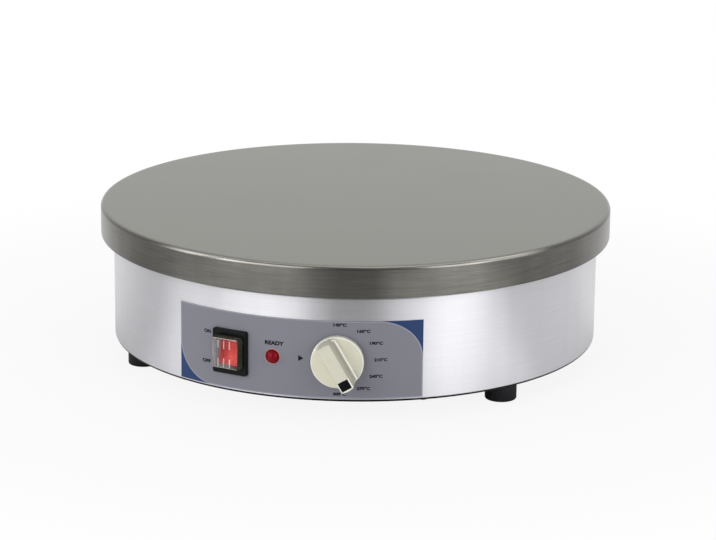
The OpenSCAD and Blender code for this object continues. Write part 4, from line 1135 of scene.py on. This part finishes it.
class CREPE_OT_cover(PieceOperator):
    """Models the ribbed clear cover over the rocker"""

    bl_idname = "crepe.cover"
    bl_label = "Clear cover"

    def execute(self, context):
        sizes = context.scene.crepe_cover
        cover = self.block(sizes, "clear_cover_cap", 0, sizes.low)
        round_rim(cover, sizes.top, radius=0.5 * MM, rounds=3)
        round_rim(cover, sizes.step, radius=0.25 * MM, rounds=2)
        carved(cover, self.block(sizes, "hollow", sizes.wall, sizes.low - MM))

        low, high = sizes.top - 0.1 * MM, sizes.top + sizes.rib_height
        rib = slab("rib", sizes.rib_width, sizes.rib_length, low, high, corner=0.4 * MM, rounds=3)
        round_rim(rib, high, radius=0.3 * MM, rounds=3)
        ribs = []
        for row, level in enumerate(RIB_LEVELS):
            for column, offset in enumerate(RIB_PLACES):
                place = Matrix.Translation((offset * MM, level * MM, 0))
                ribs.append(copy_of(rib, f"rib_{row}_{column}", place))
        bpy.data.objects.remove(rib)
        fused(cover, *ribs)
        self.dress(smooth(cover), sizes.top)
        place = on_wall(*SWITCH_AT) @ Matrix.Translation((0, sizes.rise, 0))
        finished(settle(cover, place), MAIN, "clear_cover", "switch_cover")
        return {"FINISHED"}

    def dress(self, cover, top):
        """A clear face, with duller, nearly black walls that are painted shade, and pale ribs and edges that
        are a painted highlight.
        """
        low, high, wall, rib = top - 0.45 * MM, top - 0.02 * MM, top - 0.6 * MM, top + 0.02 * MM

        def on_painted_shade_walls(face):
            """The walls, and the top's edge on the right, which get painted shade."""
            return face.center.z < wall or (face.center.z < high and face.normal.x > 0.3)

        def on_ribs(face):
            """The ribs, and the top's other edges, which get a painted highlight."""
            on_edge = low < face.center.z < high and 0.2 < face.normal.z < 0.97 and face.normal.x < 0.2
            return on_edge or face.center.z > rib

        dressed(cover, "clear_cover", ("clear_walls_painted_shade", on_painted_shade_walls), ("clear_ribs", on_ribs))

    def block(self, sizes, name, inset, low):
        """The stepped block of the cover, or of the hollow inside it."""
        step, top = sizes.step - inset, sizes.top - inset
        width, height = sizes.width - 2 * inset, sizes.height - 2 * inset
        piece = slab(name, width, height, low, step, sizes.corner - inset / 2)
        with editing(piece):
            pick_faces(piece, lambda middle, normal: near(middle.z, step))
            bpy.ops.mesh.inset(thickness=sizes.inset, depth=0)
            bpy.ops.mesh.extrude_region_move(TRANSFORM_OT_translate={"value": (0, 0, top - step)})
        return piece


class CREPE_OT_lamp(PieceOperator):
    """Turns the lamp's lens and the ring round it"""

    bl_idname = "crepe.lamp"
    bl_label = "Lamp"

    def execute(self, context):
        sizes = context.scene.crepe_lamp
        place = on_wall(*LAMP_AT)
        ball = (sizes.radius**2 + sizes.rise**2) / (2 * sizes.rise)
        start = math.degrees(math.asin((sizes.rise - ball) / -ball))
        profile = [(0, sizes.bore_rise), (sizes.bore, sizes.bore_rise), (sizes.bore, -sizes.seat)]
        profile += [(sizes.radius, -sizes.seat)]
        profile += arc(0, sizes.rise - ball, ball, start, 90, steps=14)
        lens = turned("ready_lens", profile, sides=72)
        finished(settle(smooth(lens), place), MAIN, "red_lens", "lamp_lens")

        outer, inner = sizes.ring_radius, sizes.radius + 0.05 * MM
        foot, side = -0.1 * MM, 0.2 * MM
        profile = [(inner, foot), (outer, foot), (outer, side), (outer - side, sizes.ring_rise)]
        profile += [(inner, sizes.ring_rise * 0.7), (inner, foot)]
        ring = dressed(turned("ready_lens_ring", profile, sides=72), "lamp_ring")
        finished(settle(smooth(ring), place), MAIN, "ivory_plastic")
        return {"FINISHED"}


class CREPE_OT_knob(PieceOperator):
    """Models the thermostat's knob and its black pointer inlay"""

    bl_idname = "crepe.knob"
    bl_label = "Knob"

    def execute(self, context):
        sizes = context.scene.crepe_knob
        place = on_wall(*KNOB_AT, clock=POINTER_CLOCK)
        knob = fused(self.disc(sizes), self.plinth(sizes), self.grip(sizes))
        bore_radius, bore_end = 3.05 * MM, 15.1 * MM
        bore = rod("bore", bore_radius, 0, bore_end, sides=48)
        top, fit = sizes.grip_top, 0.05 * MM
        low, width, length = top - sizes.inlay_depth, sizes.inlay_width, sizes.inlay_length
        middle = Matrix.Translation((0, sizes.inlay_start + length / 2, 0))
        slot = slab("slot", width + 2 * fit, length + 2 * fit, low - fit, top + MM)
        crossed(knob, sizes.inlay_start - fit, sizes.inlay_start + length + fit)
        carved(knob, bore, settle(slot, middle))
        self.dress(smooth(tidy(knob), 30), sizes)
        finished(settle(knob, place), DIAL, "ivory_plastic", "knob_body")

        inlay = slab("pointer_inlay", width, length, low, top, corner=0.3 * MM, rounds=3)
        round_rim(settle(inlay, middle), top, radius=0.2 * MM, rounds=3)
        finished(settle(smooth(inlay), place), DIAL, "pointer_black", "knob_pointer")
        return {"FINISHED"}

    def disc(self, sizes):
        """The round disc with the hollow behind it."""
        hub, wall, shoulder, foot = 7 * MM, 18.4 * MM, 4.1 * MM, 0.4 * MM
        radius, back, face, edge = sizes.radius, sizes.back, sizes.face, sizes.edge
        profile = [(0, back), (hub, back), (hub, shoulder), (wall, shoulder), (wall, back)]
        profile += arc(radius - foot, back + foot, foot, -90, 0, steps=3)
        profile += arc(radius - edge, face - edge, edge, 0, 90, steps=6)
        return turned("dial_knob_cap", profile + [(0, face)], sides=160)

    def plinth(self, sizes):
        """The low plinth that the grip stands on."""
        low, high = sizes.face - 0.5 * MM, sizes.plinth_top
        plinth = bar("plinth", sizes.plinth_radius, sizes.plinth_width, low, high, sides=120)
        return round_rim(plinth, high, radius=1.2 * MM)

    def grip(self, sizes):
        """The narrow grip across the disc."""
        half, top = sizes.grip_width / 2, sizes.grip_top
        grip = bar("grip", sizes.grip_radius, sizes.grip_width, sizes.face - MM, top, sides=120)
        with editing(grip, "EDGE"):
            pick_edges(
                grip,
                lambda a, b: (near(a.z, top) and near(b.z, top)) or (upright(a, b) and near(abs(a.x), half)),
            )
            bpy.ops.mesh.bevel(offset=sizes.grip_edge, segments=4, affect="EDGES")
        return grip

    def dress(self, knob, sizes):
        """Painted shade and light: the grip and its walls are darker copies of the ivory, the disc beside the
        plinth a lighter copy, and the pale edges a painted highlight.
        """
        face, plinth, top = sizes.face, sizes.plinth_top, sizes.grip_top
        above, rim = face + 0.2 * MM, sizes.radius - sizes.edge
        ridge, beside = 1.25 * MM - sizes.plinth_width / 2, sizes.plinth_width / 2 - MM
        low, high, pointed = plinth - 1.3 * MM, plinth + 0.1 * MM, sizes.inlay_start - MM

        def on_painted_shade_walls(polygon):
            """The grip's and the plinth's upright walls, and the plinth's top on the grip's left, which get
            painted shade.
            """
            middle, normal = polygon.center, polygon.normal
            side = middle.z > above and abs(normal.z) < 0.1 and normal.x < 0.7
            return side or (near(middle.z, plinth) and middle.x < 0)

        def on_painted_highlight_edges(polygon):
            """The plinth's left edge, the disc's edge and the grip's edges round the pointer, which get a
            painted highlight.
            """
            middle, normal = polygon.center, polygon.normal
            on_ridge = low < middle.z < high and normal.z > 0.15 and middle.x < ridge
            on_rim = middle.xy.length > rim and 0.1 < normal.z < 0.98 and middle.z < above
            return on_ridge or on_rim or (middle.z > top - MM and middle.y > pointed and normal.z > 0.05)

        dressed(
            knob, "ivory_plastic",
            ("ivory_grip", lambda polygon: polygon.center.z > above),
            ("ivory_walls_painted_shade", on_painted_shade_walls),
            ("ivory_disc_painted_light", lambda polygon: near(polygon.center.z, face) and polygon.center.x > beside),
            ("ivory_edges_painted_highlight", on_painted_highlight_edges),
        )


class CREPE_OT_words(PieceOperator):
    """Prints the words, the dial's numbers and the index mark on the label"""

    bl_idname = "crepe.words"
    bl_label = "Words"

    def execute(self, context):
        pieces = [self.word(word, width, height, self.spot(*at)) for word, width, height, at in LABEL_WORDS]
        pieces.append(self.mark(self.spot(*INDEX_MARK)))
        across, level = self.spot(*DIAL_MIDDLE)
        for word, clock in DIAL_WORDS:
            turn = math.radians(clock)
            side, up = DIAL_RADIUS * math.sin(turn), DIAL_RADIUS * math.cos(turn)
            if clock % 180 == 0:
                up += math.copysign(DIAL_RISE, up)
            else:
                side += DIAL_WORD_WIDTH / 2
            pieces.append(self.word(word, DIAL_WORD_WIDTH, DIAL_WORD_HEIGHT, (across + side, level + up)))
        for piece in pieces:
            self.wrap(piece)
            finished(dressed(piece, "label_print"), MAIN, "label_film")
        return {"FINISHED"}

    def spot(self, angle, height):
        """The place on the flat label, in millimetres."""
        return math.radians(angle) * LABEL_R, height

    def word(self, body, width, height, spot):
        """One word as a thin plate, fitted to its width and height."""
        bpy.ops.object.select_all(action="DESELECT")
        bpy.ops.object.text_add()
        text = bpy.context.active_object
        text.data.body = body
        text.data.extrude = 0.5
        text.data.offset = PRINT_WEIGHT
        text.data.resolution_u = 3
        bpy.ops.object.convert(target="MESH")
        piece = tidy(named("word_" + "".join(letter for letter in body if letter.isalnum())))
        corners = [vertex.co for vertex in piece.data.vertices]
        low = Vector((min(c.x for c in corners), min(c.y for c in corners), 0))
        high = Vector((max(c.x for c in corners), max(c.y for c in corners), 0))
        span = high - low
        scale = Matrix.Diagonal((width * MM / span.x, height * MM / span.y, PRINT_DEPTH * MM, 1))
        centre = Matrix.Translation(-(low + high) / 2)
        return settle(piece, Matrix.Translation((spot[0] * MM, spot[1] * MM, 0)) @ scale @ centre)

    def mark(self, spot):
        """The triangle that the knob's numbers are read against."""
        bpy.ops.object.select_all(action="DESELECT")
        bpy.ops.mesh.primitive_circle_add(
            vertices=3, radius=INDEX_MARK_RADIUS * MM, fill_type="NGON", rotation=(0, 0, -math.pi / 2)
        )
        piece = settle(named("index_mark"))
        with editing(piece):
            bpy.ops.mesh.select_all(action="SELECT")
            bpy.ops.mesh.extrude_region_move(TRANSFORM_OT_translate={"value": (0, 0, MARK_DEPTH * MM)})
        return settle(tidy(piece), Matrix.Translation((spot[0] * MM, spot[1] * MM, 0)))

    def wrap(self, piece):
        """Lays a flat plate onto the round label."""
        radius = LABEL_R * MM
        for vertex in piece.data.vertices:
            turn = vertex.co.x / radius
            out = radius + vertex.co.z
            vertex.co = (out * math.sin(turn), -out * math.cos(turn), vertex.co.y)


class CREPE_OT_feet(PieceOperator):
    """Turns one foot and copies it to its four places"""

    bl_idname = "crepe.feet"
    bl_label = "Feet"

    def execute(self, context):
        sizes = context.scene.crepe_foot
        groove, edge = 0.4 * MM, 0.4 * MM
        slope, flat = 0.3, 0.5
        profile = [(sizes.bore, sizes.height), (sizes.bore, sizes.recess_depth)]
        profile += [(sizes.recess, sizes.recess_depth), (sizes.recess, groove)]
        for radius in FOOT_GROOVES:
            foot_start, foot_end = radius + slope, radius + slope + flat
            ridge = [(radius, groove), (foot_start, 0), (foot_end, 0), (foot_end + slope, groove)]
            profile += [(place * MM, height) for place, height in ridge]
        profile = profile[:-2] + arc(sizes.radius - sizes.bevel, sizes.bevel, sizes.bevel, -90, 0, steps=5)
        profile += [(sizes.radius, sizes.height - edge), (sizes.radius - edge, sizes.height)]
        profile += [(sizes.bore, sizes.height)]
        foot = smooth(turned("foot", profile, sides=96))
        for number, angle in enumerate(FOOT_ANGLES, 1):
            piece = copy_of(foot, f"foot_{number}", at_ring(FOOT_RING, angle))
            finished(piece, MAIN, "foot_rubber", "feet")
        bpy.data.objects.remove(foot)
        return {"FINISHED"}


class CREPE_OT_screws(PieceOperator):
    """Turns a cross-head screw of each size and copies it to its places"""

    bl_idname = "crepe.screws"
    bl_label = "Screws"

    def execute(self, context):
        for name, (*sizes, ring, angles) in SCREWS.items():
            screw = self.screw(name, *sizes)
            for number, angle in enumerate(angles, 1):
                piece = copy_of(screw, f"{name}_{number}", at_ring(ring, angle))
                finished(piece, MAIN, "zinc_steel", f"{name}s")
            bpy.data.objects.remove(screw)
        return {"FINISHED"}

    def screw(self, name, head_r, head_low, head_h, shank_r, end):
        """A pan head with a cross recess, and a shank with thread grooves. Sizes are in millimetres."""
        head_top, head_side, round_r, round_h = head_low + head_h, head_h * 0.6, head_r * 0.55, head_h * 0.55
        profile = [(0, head_low), (round_r, head_low)]
        profile += arc(round_r, head_low + round_h, round_h, -90, -20, steps=4)[1:]
        profile = [(min(radius, head_r), height) for radius, height in profile]
        profile += [(head_r, head_low + head_side), (head_r, head_top), (shank_r, head_top)]
        core, tip, tip_h, neck = shank_r * 0.86, shank_r * 0.7, 0.3, 0.4
        for turn in range(int((end - head_top - 1) / THREAD_PITCH)):
            height = head_top + neck + turn * THREAD_PITCH
            profile += [(shank_r, height), (core, height + THREAD_PITCH / 2)]
        profile += [(core, end - tip_h), (tip, end), (0, end)]
        piece = turned(name, [(radius * MM, height * MM) for radius, height in profile], sides=48)
        low, high = (head_low - 1) * MM, (head_low + head_side) * MM
        arm_width, arm_length = 0.9 * MM, head_r * 1.1 * MM
        for turn in (45, 135):
            arm = slab("arm", arm_width, arm_length, low, high)
            carved(piece, settle(arm, Matrix.Rotation(math.radians(turn), 4, "Z")))
        return smooth(tidy(piece))


class CREPE_OT_gland(PieceOperator):
    """Models the cap of the cable gland"""

    bl_idname = "crepe.gland"
    bl_label = "Gland cap"

    def execute(self, context):
        sizes = context.scene.crepe_gland
        cap = rod("gland_nut", sizes.flats / math.sqrt(3), sizes.start, sizes.shoulder, sides=6)
        with editing(cap, "EDGE"):
            pick_edges(cap, upright)
            bpy.ops.mesh.bevel(offset=0.7 * MM, segments=4, affect="EDGES")
        round_rim(cap, sizes.start, radius=0.4 * MM, rounds=2)
        round_rim(cap, sizes.shoulder, radius=0.6 * MM, rounds=3)
        cone_low, shoulder = sizes.shoulder - MM, sizes.flats / 2 - 0.4 * MM
        rim, rim_low = sizes.mouth + 0.8 * MM, sizes.end - 0.7 * MM
        profile = [(0, cone_low), (shoulder, cone_low), (shoulder, sizes.shoulder)]
        profile += [(rim, rim_low), (sizes.mouth, sizes.end), (0, sizes.end)]
        fused(cap, turned("cone", profile, sides=96))
        thread = rod("thread", sizes.thread, sizes.start - MM, sizes.shoulder, sides=96)
        mouth = rod("mouth", sizes.bore, sizes.start, sizes.end + MM, sides=72)
        carved(cap, thread, mouth)
        place = on_wall(*GLAND_AT, radius=HOUSING_R)
        finished(settle(smooth(tidy(cap)), place), MAIN, "black_plastic", "gland_cap")
        return {"FINISHED"}


# ---------- stage ----------


def world_light(scene):
    """A white backdrop for the camera, brighter behind the object than in front of it."""
    world = bpy.data.worlds.new("studio")
    scene.world = world
    world.use_nodes = True
    tree = world.node_tree
    background = tree.nodes["Background"]
    path = tree.nodes.new("ShaderNodeLightPath")
    direction = tree.nodes.new("ShaderNodeTexCoord").outputs["Generated"]
    split = tree.nodes.new("ShaderNodeSeparateXYZ")
    tree.links.new(direction, split.inputs[0])
    behind = tree.nodes.new("ShaderNodeMapRange")
    tree.links.new(split.outputs["Y"], behind.inputs[0])
    for socket, number in zip(behind.inputs[1:], (*BACKDROP_REACH, *BACKDROP_LIGHT)):
        socket.default_value = number
    mirrored = behind.outputs[0]

    def choice(flag, otherwise, chosen):
        """One strength for the rays of a kind, and another for the rest."""
        made = tree.nodes.new("ShaderNodeMix")
        made.data_type = "FLOAT"
        tree.links.new(path.outputs[flag], made.inputs[0])
        for socket, value in ((made.inputs[2], otherwise), (made.inputs[3], chosen)):
            if isinstance(value, bpy.types.NodeSocket):
                tree.links.new(value, socket)
            else:
                socket.default_value = value
        return made.outputs[0]

    strength = choice("Is Glossy Ray", SHADE_LIGHT, mirrored)
    strength = choice("Is Transmission Ray", strength, mirrored)
    strength = choice("Is Camera Ray", strength, 1.0)
    tree.links.new(strength, background.inputs["Strength"])
    background.inputs["Color"].default_value = (1, 1, 1, 1)


def floor_finish():
    """A white floor that keeps a soft shadow of the object."""
    finish = Finish("studio_floor", roughness=0.9, specular_ior_level=0.1)
    grain = finish.noise(finish.place, scale=0.02)
    finish.set("Base Color", finish.mix(grain, (0.66, 0.66, 0.665), (0.69, 0.69, 0.695)))
    path = finish.add("ShaderNodeLightPath")
    along, distance = finish.along(math.degrees(1)), finish.out()
    seen = finish.math("MAXIMUM", path.outputs["Is Camera Ray"], path.outputs["Is Transmission Ray"])
    seen = finish.times(seen, finish.ease(distance, 0.89, 1.0, 230.0, 600.0))
    mirrored = finish.times(path.outputs["Is Glossy Ray"], finish.spread(distance, 0.0, 1.0, 194.0, 250.0))
    lit = SHADE_LIGHT
    for direction, reach, strength in FLOOR_SHEEN:
        offset = finish.math("ABSOLUTE", finish.math("SUBTRACT", along, direction))
        lit = finish.plus(lit, finish.ease(offset, strength, 0.0, reach * 0.55, reach))
    white, sheen = finish.add("ShaderNodeEmission"), finish.add("ShaderNodeEmission")
    finish.feed(sheen.inputs["Strength"], lit)
    surface = finish.shader.outputs[0]
    for share, light in ((seen, white), (mirrored, sheen)):
        blend = finish.add("ShaderNodeMixShader")
        for socket, value in zip(blend.inputs, (share, surface, light.outputs[0])):
            finish.feed(socket, value)
        surface = blend.outputs[0]
    finish.feed(finish.tree.nodes["Material Output"].inputs["Surface"], surface)
    return finish.material


def softbox(name, place, width, height, watts):
    """A large soft lamp that looks at the object."""
    aim = (Vector(LAMP_TARGET) - Vector(place)).to_track_quat("-Z", "Y").to_euler()
    bpy.ops.object.light_add(type="AREA", location=place, rotation=aim)
    lamp = bpy.context.active_object
    lamp.name = name
    lamp.data.shape = "RECTANGLE"
    lamp.data.size = width
    lamp.data.size_y = height
    lamp.data.energy = watts


class CREPE_OT_stage(PieceOperator):
    """Sets up the floor, the soft light and the camera"""

    bl_idname = "crepe.stage"
    bl_label = "Stage"

    def execute(self, context):
        settings = context.scene.crepe_stage
        context.scene.view_settings.view_transform = "Standard"
        bpy.ops.object.select_all(action="DESELECT")
        bpy.ops.mesh.primitive_plane_add(size=settings.floor, location=(0, settings.floor_back, 0))
        floor = settle(named("studio_floor"))
        floor.data.materials.append(floor_finish())
        world_light(context.scene)
        for name, lamp in SOFTBOXES.items():
            softbox(name, *lamp)
        self.camera(context.scene, settings)
        return {"FINISHED"}

    def camera(self, scene, settings):
        """A long lens that looks at the middle of the plate's top, a little to the right and from above."""
        rise, turn = settings.rise, settings.turn
        back = Vector((math.sin(turn) * math.cos(rise), -math.cos(turn) * math.cos(rise), math.sin(rise)))
        aim = Matrix.Rotation(turn, 4, "Z") @ Matrix.Rotation(math.pi / 2 - rise, 4, "X")
        for axis, degrees in CAMERA_TRIM:
            aim = aim @ Matrix.Rotation(math.radians(degrees), 4, axis)
        place = Vector((0, 0, GRIDDLE_TOP * MM)) + back * settings.distance
        bpy.ops.object.camera_add(location=place, rotation=aim.to_euler())
        camera = bpy.context.active_object
        camera.name = "studio_camera"
        camera.data.lens = settings.lens
        camera.data.clip_end = 100
        scene.camera = camera


# ---------- registration ----------

GROUPS = {
    "crepe_griddle": GriddleSizes,
    "crepe_switch": SwitchSizes,
    "crepe_cover": CoverSizes,
    "crepe_lamp": LampSizes,
    "crepe_knob": KnobSizes,
    "crepe_foot": FootSizes,
    "crepe_gland": GlandSizes,
    "crepe_colours": FinishColours,
    "crepe_stage": StageSettings,
}
OPERATORS = (
    CREPE_OT_finishes,
    CREPE_OT_griddle,
    CREPE_OT_switch,
    CREPE_OT_cover,
    CREPE_OT_lamp,
    CREPE_OT_knob,
    CREPE_OT_words,
    CREPE_OT_feet,
    CREPE_OT_screws,
    CREPE_OT_gland,
    CREPE_OT_stage,
)


class CREPE_PT_maker(bpy.types.Panel):
    """Lists the steps that make the crepe maker"""

    bl_label = "Crepe maker"
    bl_space_type = "VIEW_3D"
    bl_region_type = "UI"
    bl_category = "Crepe maker"

    def draw(self, context):
        """Buttons for the steps, and the sizes and colours below them."""
        for operator in OPERATORS:
            self.layout.operator(operator.bl_idname)
        for name in GROUPS:
            box = self.layout.box()
            group = getattr(context.scene, name)
            for key in group.bl_rna.properties.keys():
                if key not in {"rna_type", "name"}:
                    box.prop(group, key)


def register():
    """Registers the sizes, the operators and the panel."""
    for name, group in GROUPS.items():
        bpy.utils.register_class(group)
        setattr(bpy.types.Scene, name, PointerProperty(type=group))
    for operator in OPERATORS:
        bpy.utils.register_class(operator)
    bpy.utils.register_class(CREPE_PT_maker)


def unregister():
    """Takes back what register did."""
    bpy.utils.unregister_class(CREPE_PT_maker)
    for operator in reversed(OPERATORS):
        bpy.utils.unregister_class(operator)
    for name, group in GROUPS.items():
        delattr(bpy.types.Scene, name)
        bpy.utils.unregister_class(group)


def main():
    """Registers the sizes, the operators and the panel, then makes every piece and the stage."""
    register()
    for operator in OPERATORS:
        group, step = operator.bl_idname.split(".")
        getattr(getattr(bpy.ops, group), step)()


if __name__ == "__main__":
    main()
